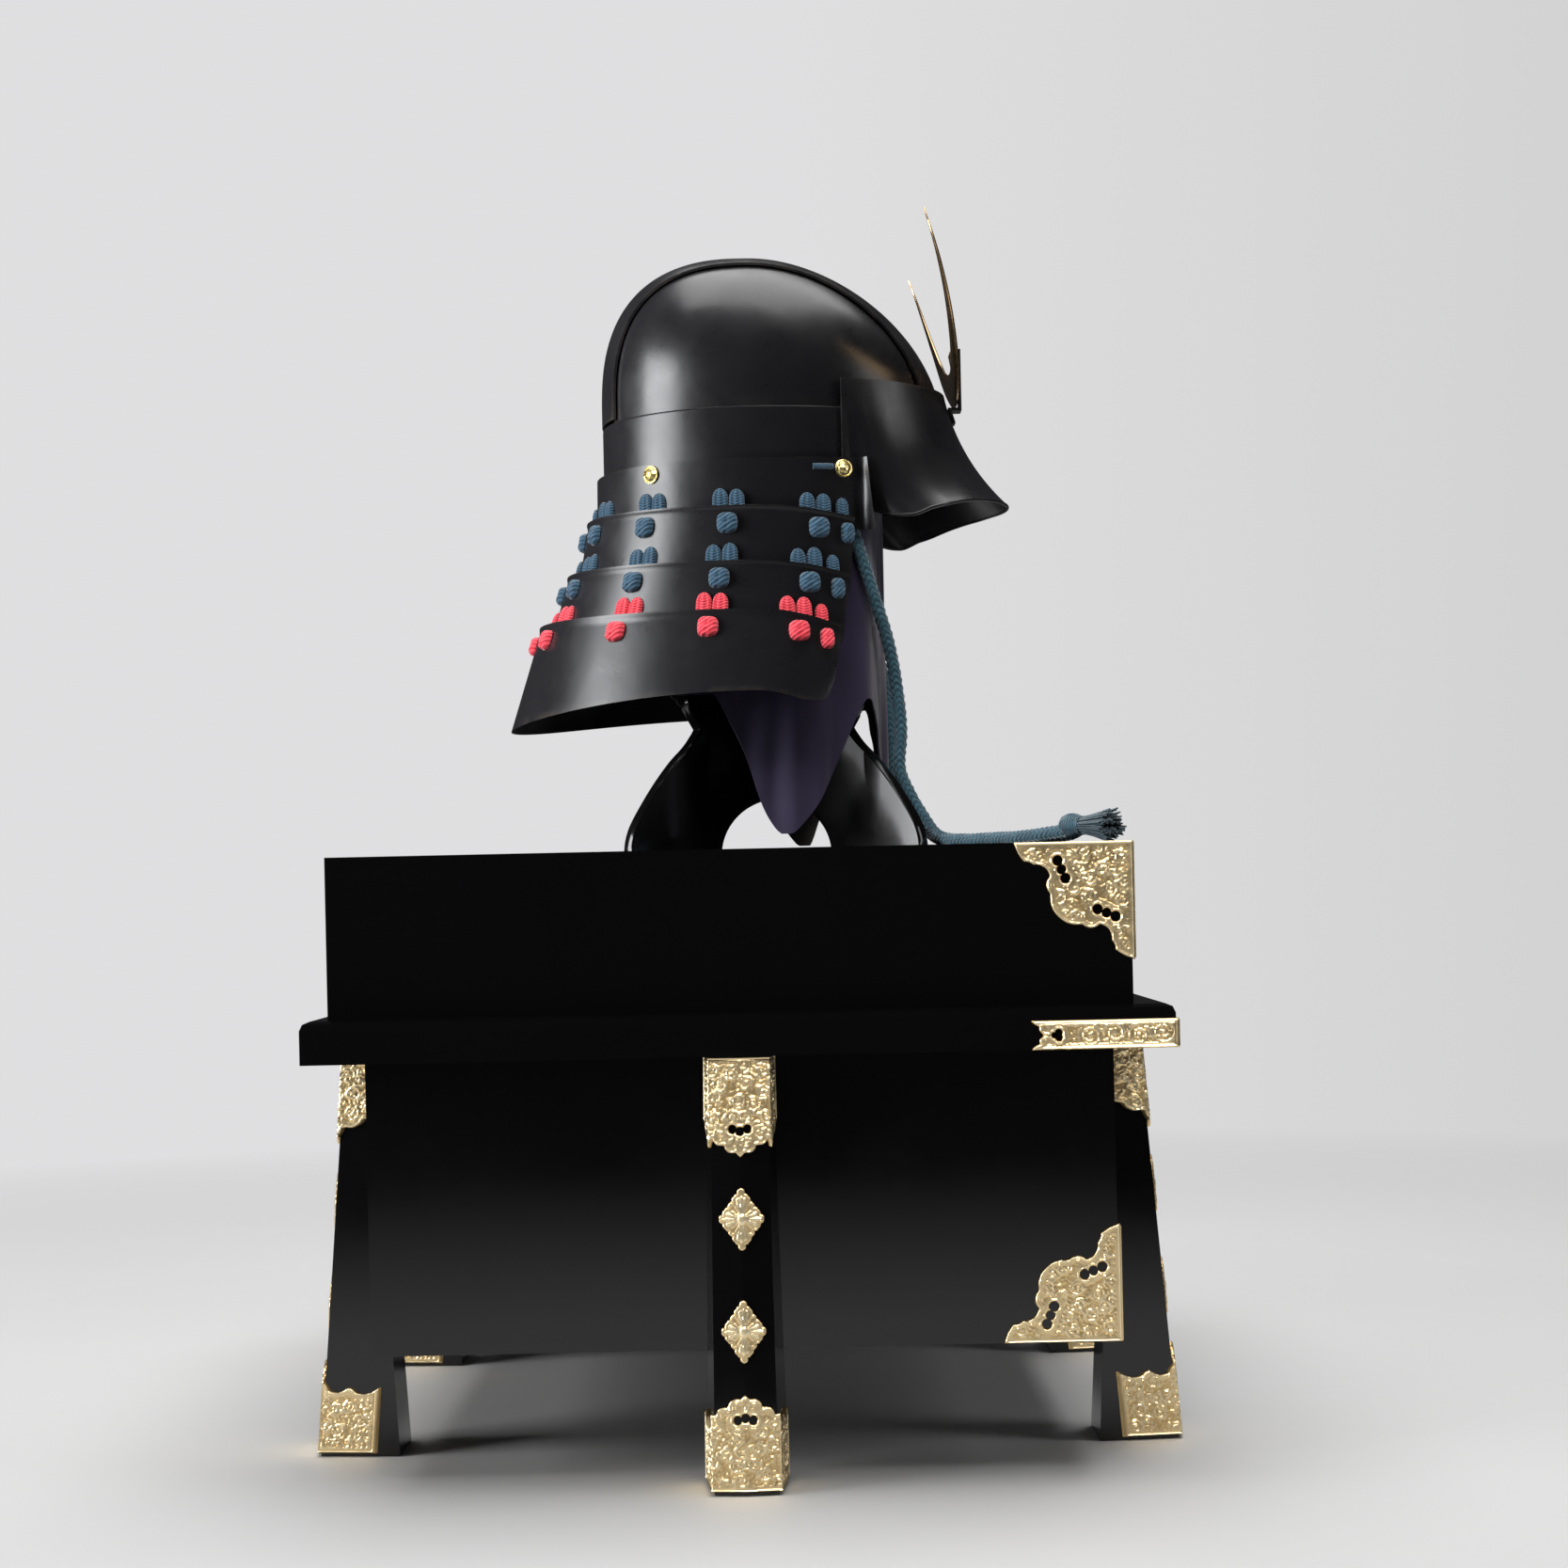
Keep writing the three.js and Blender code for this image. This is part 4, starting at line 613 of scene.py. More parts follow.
def foliage(points):
    """Fine curling leaf veins: the ridges of a warped wave pattern."""
    u, v = points[:, 0] * 1.15, points[:, 1] * 1.15
    bent_u = u + 1.3 * np.sin(v * 0.83 + 0.7 * np.sin(u * 0.41))
    bent_v = v + 1.2 * np.sin(u * 0.77 + 1.9 + 0.8 * np.sin(v * 0.37))
    wave = np.sin(bent_u) * np.sin(bent_v) + 0.35 * np.sin(bent_u * 2.1 + bent_v * 1.3)
    return np.clip(1.15 - np.abs(wave) * 3.2, 0, 1)


def plate_relief(points, distance, centres, floor=3.2):
    """A double rim round the edge and the holes and, inside it, scrolls and leaves on a sunk ground."""
    rim = 0.85 * ridge(distance, 0.9, 0.9) + 0.6 * ridge(distance, 2.55, 0.75)
    field = np.clip((distance - floor) / 0.4, 0, 1)
    inside = np.maximum(0.8 * scrolls(points, centres), 0.62 * foliage(points))
    return np.maximum(rim, field * inside)


def flat_relief(outline, holes, cell, relief_of):
    """A relief over an outline, laid flat: points, heights, faces and the faces' open edges."""
    low, high = outline.min(0) - cell, outline.max(0) + cell
    us = np.arange(low[0], high[0] + cell, cell)
    vs = np.arange(low[1], high[1] + cell, cell)
    flat = np.stack(np.meshgrid(us, vs, indexing="ij"), 2).reshape(-1, 2)
    columns = len(vs)
    distance = inner_distance(flat, outline, holes)
    quads = grid_faces(len(us), columns)
    quads = quads[(distance[quads] > 0).any(1)]
    used = np.unique(quads)
    outside = used[distance[used] <= 0]
    for _ in range(3):
        p = flat[outside]
        d = inner_distance(p, outline, holes)
        slopes = []
        for step in ([0.05, 0], [0, 0.05]):
            slopes.append(inner_distance(p + step, outline, holes) - inner_distance(p - step, outline, holes))
        gradient = np.stack(slopes, 1) / 0.1
        size = np.maximum((gradient**2).sum(1), 0.3)
        flat[outside] = p - gradient * (d / size)[:, None]
    lookup = np.full(len(flat), -1)
    lookup[used] = np.arange(len(used))
    quads = lookup[quads]
    flat = flat[used]
    distance = inner_distance(flat, outline, holes)
    height = relief_of(flat, np.maximum(distance, 0))
    edges = {}
    for q in quads:
        for i in range(4):
            key = (int(q[i]), int(q[(i + 1) % 4]))
            edges[key] = edges.get(key, 0) + 1
    border = [e for e in edges if (e[1], e[0]) not in edges]
    return flat, height, quads, border


def placed(relief, place, depth):
    """A flat relief in its place, with its edge turned down by a depth.
    place turns flat points and heights into the frame."""
    flat, height, quads, border = relief
    rim = sorted({i for e in border for i in e})
    under = {i: len(flat) + n for n, i in enumerate(rim)}
    points = np.concatenate([place(flat, height), place(flat[rim], np.full(len(rim), -depth))])
    faces = [list(map(int, q)) for q in quads] + [[b, a, under[a], under[b]] for a, b in border]
    share = np.clip(height / 0.75, 0, 1)
    return points, faces, np.concatenate([share, np.zeros(len(rim))])


def gilt_piece(name, parts, *replaced):
    points, faces, relief = joined(parts)
    settle(link_mesh(name, points, faces, [GILT], relief=relief, sharp=50), "gilt", *replaced)


PLATE_LIFT = GAP + 1.0
TURNED_EDGE = 1.25
CORNER_SIZE = 66.0
CORNER_EDGE = [(1, 0), (0.92, 0.16), (0.84, 0.19), (0.7, 0.29), (0.7, 0.44), (0.635, 0.635)]
CORNER_BULGE = [0.06, 0.1, 0.2, 0.22, 0.13]


def corner_outline():
    half = [(a * CORNER_SIZE, d * CORNER_SIZE) for a, d in CORNER_EDGE]
    other = [(d, a) for a, d in half[:-1]][::-1]
    bulge = [0, *CORNER_BULGE, *CORNER_BULGE[::-1], 0]
    return lobed([(0, 0), *half, *other], bulge)


CORNER_HOLES = [(42.0, 10.4, 2.9), (39.9, 15.4, 2.7), (37.8, 20.3, 2.9)]
CORNER_HOLES = CORNER_HOLES + [(y, x, r) for x, y, r in CORNER_HOLES]


def corner_relief():
    outline = corner_outline()
    centres = scatter(outline, 7.4, 3, CORNER_HOLES)

    def relief(points, distance):
        return plate_relief(points, distance, centres)

    return flat_relief(outline, CORNER_HOLES, 0.75, relief)


CORNER_RELIEF = corner_relief()


MOULDING_LENGTH = 81.0
MOULDING_HEIGHT = 16.0


def moulding_relief():
    w, h = MOULDING_LENGTH, MOULDING_HEIGHT
    corners = [(0, 0), (w, 0), (0.935 * w, 0.2 * h), (0.945 * w, 0.34 * h), (0.895 * w, 0.5 * h),
               (0.945 * w, 0.66 * h), (0.935 * w, 0.8 * h), (w, h), (0, h)]
    outline = lobed(corners, [0, 0.12, 0.16, 0.12, 0.12, 0.16, 0.12, 0, 0])
    holes = [(0.815 * w, 0.5 * h - 1.3, 2.1), (0.815 * w, 0.5 * h + 1.3, 2.1), (0.845 * w, 0.5 * h, 1.7)]
    centres = [(8.5 + 13.5 * i, h * (0.5 + 0.04 * (-1) ** i), 6.0, 1.3 * i) for i in range(4)]

    def relief(points, distance):
        return plate_relief(points, distance, centres, 2.3)

    return flat_relief(outline, holes, 0.65, relief)


MOULDING_RELIEF = moulding_relief()


def edge_plate(name, node, relief, x, half_y, z, side, up):
    """A relief on the chest's side and again, folded round the corner, on its front."""
    def on_side(flat, height):
        y = side * (half_y + PLATE_LIFT + height)
        return np.stack([x + PLATE_LIFT - flat[:, 0], y, z + up * flat[:, 1]], 1)

    def on_front(flat, height):
        y = side * (half_y + PLATE_LIFT - flat[:, 0])
        return np.stack([x + PLATE_LIFT + height, y, z + up * flat[:, 1]], 1)

    gilt_piece(name, [placed(relief, place, TURNED_EDGE) for place in (on_side, on_front)], node)


EDGE_PLATES = [
    ("lid", CORNER_RELIEF, LID_FRONT_X, LID_HALF_Y, LID_TOP_Z, -1),
    ("box", CORNER_RELIEF, *BOX_HALF, BOX_OFF_FLOOR, 1),
    ("moulding", MOULDING_RELIEF, *MOULDING_HALF, MOULDING_Z, 1),
]
for end, side in SIDES:
    for label, relief, x, half_y, z, up in EDGE_PLATES:
        edge_plate(f"{label}_fitting_{end}", f"{label}_corner_{end}", relief, x, half_y, z, side, up)


# Fittings on the legs, wrapped round the front and both sides
LEG_RIDGE = 2.0
LEG_SIDE_FLARE = 0.12
LEG_REACH = (27, 46)
LEG_WIDTH = (31, 35)


def leg_section(z, offset):
    """A leg's reach from the box and half its front's width, from those at its top and at the floor."""
    share = 1 - z / LEG_TOP_Z
    reach = LEG_REACH[0] + (LEG_REACH[1] - LEG_REACH[0]) * share + offset
    front_half = (LEG_WIDTH[0] + (LEG_WIDTH[1] - LEG_WIDTH[0]) * share) / 2 + offset
    return reach, front_half


def wrap_place(u, z, height, half, turn, x, y):
    """A place on a leg's wrapped fitting: u runs along its girth from the middle of the front."""
    reach, front_half = leg_section(z, PLATE_LIFT + height)
    across = np.clip(u / half, -1, 1)
    depth = np.maximum(np.abs(u) - half, 0)
    front_x = reach - LEG_RIDGE
    px = front_x - depth + LEG_RIDGE * (1 - np.abs(across))
    py = across * (front_half + LEG_SIDE_FLARE * depth)
    c, s = math.cos(math.radians(turn)), math.sin(math.radians(turn))
    return np.stack([x + c * px - s * py, y + s * px + c * py, z], 1)


LEG_PLACES = [
    ("front_near", 0, 210, -150), ("front_far", 0, 210, 150), ("back_near", 180, -210, -150),
    ("back_far", 180, -210, 150), ("side_near", -90, 0, -250), ("side_far", 90, 0, 250),
]

# Half of each fitting's lobed edge from the middle of the front outward: the girth as a share of the front's
# half width up to 1 and of the side's depth beyond that, and the height as a share of the fitting's.
CAP_EDGE = [(0, 1), (0.14, 0.95), (0.42, 0.94), (0.5, 0.86), (0.78, 0.86), (0.86, 0.79), (1, 0.8),
            (1.12, 0.7), (1.45, 0.74), (1.6, 0.68), (2, 0.74)]
EDGE_BULGE = [0.05, 0.16, 0.14, 0.16, 0.12, 0.05, 0.05, 0.14, 0.1, 0.12]
COLLAR_EDGE = [(0, 1), (0.14, 0.95), (0.42, 0.94), (0.5, 0.87), (0.78, 0.87), (0.86, 0.8), (1, 0.9),
               (1.15, 0.78), (1.5, 0.78), (1.7, 0.7), (2, 0.66)]


def leg_relief(edge, size, half, depth, hole_share, seed):
    def girth(share):
        return share * half if share <= 1 else half + (share - 1) * depth

    right = [(girth(s), h * size) for s, h in edge]
    left = [(-u, h) for u, h in right[1:]][::-1]
    corners = [*left, *right, (girth(2), 0), (-girth(2), 0)]
    outline = lobed(corners, [*EDGE_BULGE[::-1], *EDGE_BULGE, 0, 0, 0])
    hole_y = hole_share * size
    holes = [(0, hole_y + 1.2, 2.5), (-4.2, hole_y, 2.5), (4.2, hole_y, 2.5)]
    centres = scatter(outline, 7.4, seed, holes)

    def relief(points, distance):
        made = plate_relief(points, distance, centres, 2.2)
        fold = 0.5 * ridge(np.abs(points[:, 0]), half, 0.9)
        return np.maximum(made, fold)

    return flat_relief(outline, holes, 0.8, relief)


CAP_HALF = 18.2
COLLAR_HALF = 17.2
CAP_RELIEF = leg_relief(CAP_EDGE, 52, CAP_HALF, 34, 0.74, 11)
COLLAR_RELIEF = leg_relief(COLLAR_EDGE, 55, COLLAR_HALF, 22, 0.72, 12)


def leg_fitting(name, node, place_row, relief, half, flat_z, direction):
    _, turn, x, y = place_row

    def place(flat, height):
        return wrap_place(flat[:, 0], flat_z + direction * flat[:, 1], height, half, turn, x, y)

    points, faces, share = placed(relief, place, TURNED_EDGE)
    if direction < 0:
        faces = [face[::-1] for face in faces]
    gilt_piece(name, [(points, faces, share)], node)


PETALS = [(1, 0), (0.8, 0.14), (0.74, 0.3), (0.52, 0.36), (0.52, 0.52), (0.36, 0.52), (0.3, 0.74),
          (0.14, 0.8)]


def quatrefoil(half_u, half_v):
    """A diamond of four lobed petals."""
    corners = []
    quarter = PETALS
    for _ in range(4):
        corners += [(a * half_u, b * half_v) for a, b in quarter]
        quarter = [(-b, a) for a, b in quarter]
    return lobed(corners, 0.3)


def rosette_relief():
    outline = quatrefoil(12.8, 17.0)

    def relief(points, distance):
        angle = np.arctan2(points[:, 1] / 1.33, points[:, 0])
        r = np.hypot(points[:, 0], points[:, 1] / 1.33)
        petals = np.abs(np.cos(2 * angle)) ** 0.5
        ribs = 0.5 + 0.5 * np.cos(angle * 24)
        lobe = np.clip(petals * 1.2 - 0.2, 0, 1) * np.clip((distance - 1.2) / 1.0, 0, 1)
        centre = np.clip(1.6 - r / 2.2, 0, 1)
        rim = 0.55 * ridge(distance, 0.8, 0.8)
        return np.maximum(np.maximum(rim, lobe * (0.45 + 0.4 * ribs)), centre * 1.1)

    return flat_relief(outline, (), 0.6, relief)


ROSETTE_RELIEF = rosette_relief()


def rosette(name, place_row, z, half):
    _, turn, x, y = place_row

    def place(flat, height):
        return wrap_place(flat[:, 0], z + flat[:, 1], height - 0.9, half, turn, x, y)

    gilt_piece(name, [placed(ROSETTE_RELIEF, place, 0.5)])


for row in LEG_PLACES:
    label = row[0]
    leg_fitting(f"foot_fitting_{label}", f"foot_cap_{label}", row, CAP_RELIEF, CAP_HALF, 2, 1)
    leg_fitting(f"collar_fitting_{label}", f"leg_collar_{label}", row, COLLAR_RELIEF, COLLAR_HALF,
                LEG_TOP_Z, -1)
    rosette(f"rosette_upper_{label}", row, 149, 17.2)
    rosette(f"rosette_lower_{label}", row, 88, 18.0)


# Bowl, from the same formulas as the part's source
def wall_point(angle, z, side, back=None):
    """A point on the bowl's oval wall, which stands out by side, or by back at the nape."""
    back = side if back is None else back
    angle, z = np.asarray(angle, float), np.asarray(z, float)
    along = np.where(np.cos(angle) > 0, BOWL_FRONT + side, BOWL_BACK + back)
    x = BOWL_X + along * np.cos(angle)
    y = (BOWL_HALF_WIDTH + side) * np.sin(angle)
    return np.stack(np.broadcast_arrays(x, y, z), -1)


def bowl_section(angle):
    """The power of the dome's curve and the height of its upright foot, at an angle."""
    ahead = np.maximum(0, np.cos(angle)) ** 2
    behind = np.maximum(0, -np.cos(angle)) ** 2
    return 2.05 - 0.25 * ahead + 0.55 * behind, BOWL_UPRIGHT * (1 - ahead)


def bowl_z(x, y, out):
    """The dome's height over a place, for a surface that stands out from the bowl."""
    along = np.where(x > BOWL_X, BOWL_FRONT, BOWL_BACK) + out
    u = (x - BOWL_X) / along
    v = y / (BOWL_HALF_WIDTH + out)
    power, upright = bowl_section(np.arctan2(v, u))
    reach = np.minimum(1, np.hypot(u, v))
    rise = (1 - reach**power) ** (1 / power)
    return SEAM_Z + upright + (BOWL_HEIGHT + out - upright) * rise


def side_plate(side, name, node):
    start = math.asin(SIDE_PLATE_Y / BOWL_HALF_WIDTH)
    angle = np.linspace(start, math.pi - start, 97)
    rows = 40

    def grid(out):
        made = []
        for r in range(-1, rows + 1):
            power, _ = bowl_section(angle)
            edge = np.minimum(SIDE_PLATE_Y / (BOWL_HALF_WIDTH * np.sin(angle)), 0.94)
            turn = (max(r, 0) / rows) ** 1.3
            reach = np.cos(np.arccos(edge ** (power / 2)) * turn) ** (2 / power)
            wall = wall_point(side * angle, 0, out)
            x = BOWL_X + (wall[:, 0] - BOWL_X) * reach
            y = wall[:, 1] * reach
            z = bowl_z(x, y, out) if r >= 0 else np.full(len(x), SEAM_Z - 8)
            made.append(np.stack([x, y, z], 1))
        return np.array(made)

    helmet_sheet(name, node, grid(0), grid(-SIDE_PLATE_SHEET))


def crown_plate():
    """The wide plate over the bowl's middle: strips from brow to nape, side by side."""
    def strip_at(y, out):
        room = math.sqrt(1 - (y / (BOWL_HALF_WIDTH + out)) ** 2)
        i = np.arange(-60, 61)
        along = np.where(i < 0, BOWL_FRONT + out, -BOWL_BACK - out)
        power = np.where(i < 0, bowl_section(0.0)[0], bowl_section(math.pi)[0])
        x = BOWL_X + along * room * np.sin(np.abs(i) * math.pi / 120) ** (2 / power)
        ys = np.full(len(x), y)
        places = np.stack([x, ys, bowl_z(x, ys, out)], 1)
        ends = places[[0, -1]].copy()
        ends[:, 2] = SEAM_Z + 2
        if places[0][2] < SEAM_Z + 3:
            places = places[1:]
        return evened(np.array([ends[0], *places, ends[1]]), 150)

    def grid(out):
        ys = np.linspace(-CROWN_HALF_WIDTH, CROWN_HALF_WIDTH, 21)
        return np.stack([strip_at(y, out) for y in ys], 1)

    helmet_sheet("crown_shell", "crown_plate", grid(CROWN_OUT), grid(CROWN_IN))


def waist_band():
    angle = np.linspace(0, 2 * math.pi, 181)[:-1]
    levels = [(0, -0.5), (-0.6, -0.12), (-1.4, 0), (-25, 0), (-38, 0), (-50, 0)]
    outer = np.array([wall_point(angle, SEAM_Z + rise, BAND_OUT + out) for rise, out in levels])
    inner = np.array([wall_point(angle, SEAM_Z + rise, BAND_IN) for rise, _ in levels])
    helmet_sheet("waist_ring", "waist_band", outer, inner, closed=True)


for end, side in SIDES:
    side_plate(side, f"side_shell_{end}", f"side_plate_{end}")
crown_plate()
waist_band()

# Brow plate and visor. Rows: share of the way from its middle to its wing's end, then shares of the visor's
# reach, spread and drop at its rim, and of the reach and drop at its bend.
BROW_END_X = 69.5
BROW_ABOVE_SEAM = 18.0
VISOR_REACH = 40.3
VISOR_SPREAD = 14.0
VISOR_DROP = 72.5
VISOR_ROWS = np.array([
    (0, 1, 0, 1, 0.22, 0.58), (0.15, 1, 0.03, 1, 0.22, 0.58), (0.3, 1, 0.1, 1, 0.21, 0.6),
    (0.45, 1, 0.2, 1.01, 0.19, 0.62), (0.6, 1, 0.32, 1.03, 0.16, 0.66), (0.73, 1, 0.48, 1.07, 0.12, 0.72),
    (0.84, 0.92, 0.68, 1.13, 0.08, 0.8), (0.91, 0.62, 0.5, 1.2, 0.04, 0.86),
    (0.95, 0.25, -0.25, 1.12, 0.02, 0.7), (1, 0, 0, 0.82, 0, 0.4),
])


def eased(keys, values, at):
    """Smooth values between keys, without overshoot."""
    slope = np.gradient(values, keys)
    i = np.clip(np.searchsorted(keys, at) - 1, 0, len(keys) - 2)
    h = keys[i + 1] - keys[i]
    t = (at - keys[i]) / h
    step = values[i + 1] - values[i]
    low, high = np.minimum(values[i], values[i + 1]), np.maximum(values[i], values[i + 1])
    made = values[i] + t * h * slope[i] + t * t * (3 * step - h * (2 * slope[i] + slope[i + 1]))
    made = made + t**3 * (h * (slope[i] + slope[i + 1]) - 2 * step)
    return np.clip(made, low, high)


def brow_plate():
    wing_end = math.acos((BROW_END_X - BOWL_X) / (BOWL_FRONT + BROW_OUT))
    share = np.concatenate([np.linspace(0, 0.82, 44), np.linspace(0.82, 1, 26)[1:]])
    signed = np.concatenate([-share[::-1][:-1], share])
    keys, *values = VISOR_ROWS.T
    reach, spread, drop, bend_reach, bend_drop = (eased(keys, v, np.abs(signed)) for v in values)
    top = wall_point(signed * wing_end, SEAM_Z + BROW_ABOVE_SEAM, BROW_OUT)
    side = np.sign(signed)
    bend = top + np.stack([bend_reach * VISOR_REACH, 0 * side, -bend_drop * VISOR_DROP], 1)
    rim = top + np.stack([reach * VISOR_REACH, side * spread * VISOR_SPREAD, -drop * VISOR_DROP], 1)
    steps = np.linspace(0, 1, 40)
    outer = np.array([top * (1 - t) ** 2 + 2 * bend * t * (1 - t) + rim * t * t for t in steps])
    inner = other_side(outer, BOWL_X, BOWL_HEIGHT, BROW_SHEET)
    helmet_sheet("brow_shell", "brow_plate", outer, inner)
    points, faces, _ = tube((outer[-1] + inner[-1]) / 2, lambda length, turn, total: 1.15, 10)
    settle(link_mesh("visor_rim", points, faces, [HELMET], sharp=0), "helmet_lacquer")


brow_plate()

# Neck guard. How far each lame's top and bottom edge hang under the seam at back, side and front, the x of
# its front edge at top and bottom, and how far it stands out from the bowl there, at the side and at the back.
LAMES = [
    {"top": (33, 33, 32), "bottom": (74.1, 74.1, 78), "front": (84.5, 88.7),
     "side": (6.6, 7.2), "back": (6.6, 7.2)},
    {"top": (61, 63, 70.5), "bottom": (106, 108, 117), "front": (75.8, 72),
     "side": (12.7, 16.2), "back": (12.7, 21.2)},
    {"top": (95.5, 98, 107), "bottom": (139, 139.5, 150), "front": (72, 66.5),
     "side": (20.8, 27.4), "back": (26.2, 39.6)},
    {"top": (128, 129, 140.5), "bottom": (195, 180, 194.6), "front": (66, 58.7),
     "side": (32.4, 47), "back": (44.8, 66)},
]
WING_START_X = 76.0
WING_TURN = 14.0
LAME_RIM = 1.2
LAME_CORNER_RISE = 16.0


def mixed(pair, share):
    return pair[0] + (pair[1] - pair[0]) * share


def lame_front_angle(lame, v):
    """Where a lame ends at the front, at a share of its height."""
    return math.acos((mixed(lame["front"], v) - BOWL_X) / (BOWL_FRONT + mixed(lame["side"], v)))


def edge_z(edge, angle, front_angle):
    """The height of a lame's edge, eased between its back, side and front."""
    back, side, front = edge
    ahead = np.cos(angle) / math.cos(front_angle)
    forward = side + (front - side) * np.minimum(1, np.maximum(ahead, 0)) ** 2
    behind = side + (back - side) * np.cos(angle) ** 2
    return SEAM_Z - np.where(ahead > 0, forward, behind)


def lame_point(lame, angle, v, offset=0.0):
    """A point on a lame at an angle and a share of its height. The first lame's ends turn out as wings."""
    angle = np.asarray(angle, float)
    front_angle = lame_front_angle(lame, v)
    z = mixed((edge_z(lame["top"], angle, front_angle), edge_z(lame["bottom"], angle, front_angle)), v)
    point = wall_point(angle, z, mixed(lame["side"], v) + offset, mixed(lame["back"], v) + offset)
    if lame is LAMES[0]:
        turn = np.maximum(0, (point[..., 0] - WING_START_X) / (LAMES[0]["front"][1] - WING_START_X))
        point[..., 1] += np.sign(point[..., 1]) * WING_TURN * turn**2.4
    return point


def lame_sheet(index):
    """A lame with a rolled top edge, but for the first, and rounded lower corners on the last."""
    lame = LAMES[index]
    rim = LAME_RIM if index else 0.0
    rim_share = 3 / (lame["bottom"][1] - lame["top"][1])
    shares = [0, rim_share * 0.25, rim_share * 0.6, rim_share, rim_share * 1.5, *np.linspace(0.12, 1, 12)]
    bends = [1, 0.95, 0.55, 0.16, 0, *[0] * 12]
    end = np.linspace(0.86, 1, 22)
    columns = np.concatenate([-end[:0:-1], np.linspace(-0.86, 0.86, 150), end[1:]])

    def grid(offset):
        rows = []
        for v, bend in zip(shares, bends):
            angle = math.pi - columns * (math.pi - lame_front_angle(lame, v))
            row = lame_point(lame, angle, v, offset + rim * bend)
            if index == 3:
                q = np.clip((np.abs(columns) - 1) / 0.07 + 1, 0, 1)
                row[:, 2] += LAME_CORNER_RISE * (1 - np.sqrt(1 - q * q)) * v**3
            rows.append(row)
        return np.array(rows)

    helmet_sheet(f"lame_shell_{index + 1}", f"neck_lame_{index + 1}", grid(0), grid(-LAME_SHEET))


for number in range(4):
    lame_sheet(number)

# Laces: each column's name, its angle at the top and the bottom joint, its width and its number of braids
LACE_COLUMNS = [
    ("brow_pair", 71.5, 79.2, 20.5, 2), ("brow_single", 63.6, 73.0, 8.6, 1), ("cheek", 97, 100.5, 20.5, 2),
    ("side", 127, 126, 20.5, 2), ("nape", 155.5, 157, 20.5, 2), ("centre", 180, 180, 20.5, 2),
]
KNOT_SIZE = 13.0
KNOT_THICK = 4.6


def lame_frame(lame, angle, z):
    """A point on a lame with the directions along it, out of it and down it."""
    front_angle = lame_front_angle(lame, 0)
    top = float(edge_z(lame["top"], angle, front_angle))
    bottom = float(edge_z(lame["bottom"], angle, front_angle))
    v = (top - z) / (top - bottom)
    point = lame_point(lame, angle, v)
    tangent = lame_point(lame, angle + 0.01, v) - point
    tangent /= np.linalg.norm(tangent)
    down = lame_point(lame, angle, v + 0.05) - point
    down /= np.linalg.norm(down)
    normal = np.cross(down, tangent)
    normal /= np.linalg.norm(normal)
    if normal[0] * (point[0] - BOWL_X) + normal[1] * point[1] < 0:
        normal = -normal
    tangent[2] = 0
    return point, tangent / np.linalg.norm(tangent), normal, down


def strip(lame, angle, head, foot, across, width):
    """One ribbed braid with a rounded top, lying on a lame from head down to foot."""
    steps = 26
    columns = 25
    outer, uv = [], []
    for i in range(steps):
        z = head + (foot - head) * (i / (steps - 1)) ** 1.5
        point, tangent, normal, _ = lame_frame(lame, angle, z)
        near_top = min(1.0, (head - z) / (width * 0.62) + 0.02)
        full = math.sqrt(max(0.0, 1 - (1 - near_top) ** 2)) * (0.94 + 0.06 * (head - z) / (head - foot))
        for k in range(columns):
            s = -1 + 2 * k / (columns - 1)
            rib = 0.45 * math.cos(s * 8.5) * full
            lift = 0.3 + 2.5 * full * (1 - abs(s) ** 3.2) ** 0.5 + rib
            outer.append(point + tangent * (across + s * full * width / 2) + normal * lift)
            uv.append((s, (head - z) / 1.7))
    grid = np.array(outer).reshape(steps, columns, 3)
    _, _, normal, _ = lame_frame(lame, angle, head)
    inner = grid - normal * 0.25
    points, faces, _ = shell(grid, inner)
    return points, faces.tolist(), uv + uv


def cross_knot(lame, angle, z, width):
    """A round knot of crossed ribbed strands, tied against a lame."""
    point, tangent, normal, down = lame_frame(lame, angle, z)
    count = 25
    s, t = np.meshgrid(np.linspace(-1, 1, count), np.linspace(-1, 1, count), indexing="ij")
    square = np.maximum(np.abs(s), np.abs(t))
    round_ = (np.abs(s) ** 3 + np.abs(t) ** 3) ** (1 / 3)
    share = np.where(round_ > 0, square / np.maximum(round_, 1e-9), 1)
    s, t = s * share, t * share
    radius = np.clip((np.abs(s) ** 3 + np.abs(t) ** 3) ** (1 / 3), 0, 1)
    body = (1 - radius**3) ** 0.45
    strand = np.where(s * t > -0.05, np.sin((s * 0.8 + t) * 9.5), np.sin((s * 0.8 - t) * 9.5))
    ribs = 0.32 * strand * np.clip(body * 1.6, 0, 1)
    seam = -0.7 * np.exp(-((np.minimum(np.abs(s), np.abs(t)) / 0.1) ** 2)) * np.clip(1 - radius, 0, 1)
    lift = 0.4 + KNOT_THICK * body + ribs + seam
    grid = (point + tangent * (s * width / 2)[..., None] + down * (t * KNOT_SIZE / 2)[..., None]
            + normal * lift[..., None])
    points, faces, _ = shell(grid, grid - normal * 0.25)
    uv = np.stack([np.zeros(s.size), (s * 0.6 + t).ravel() * 2.4], 1).tolist()
    return points, faces.tolist(), uv + uv


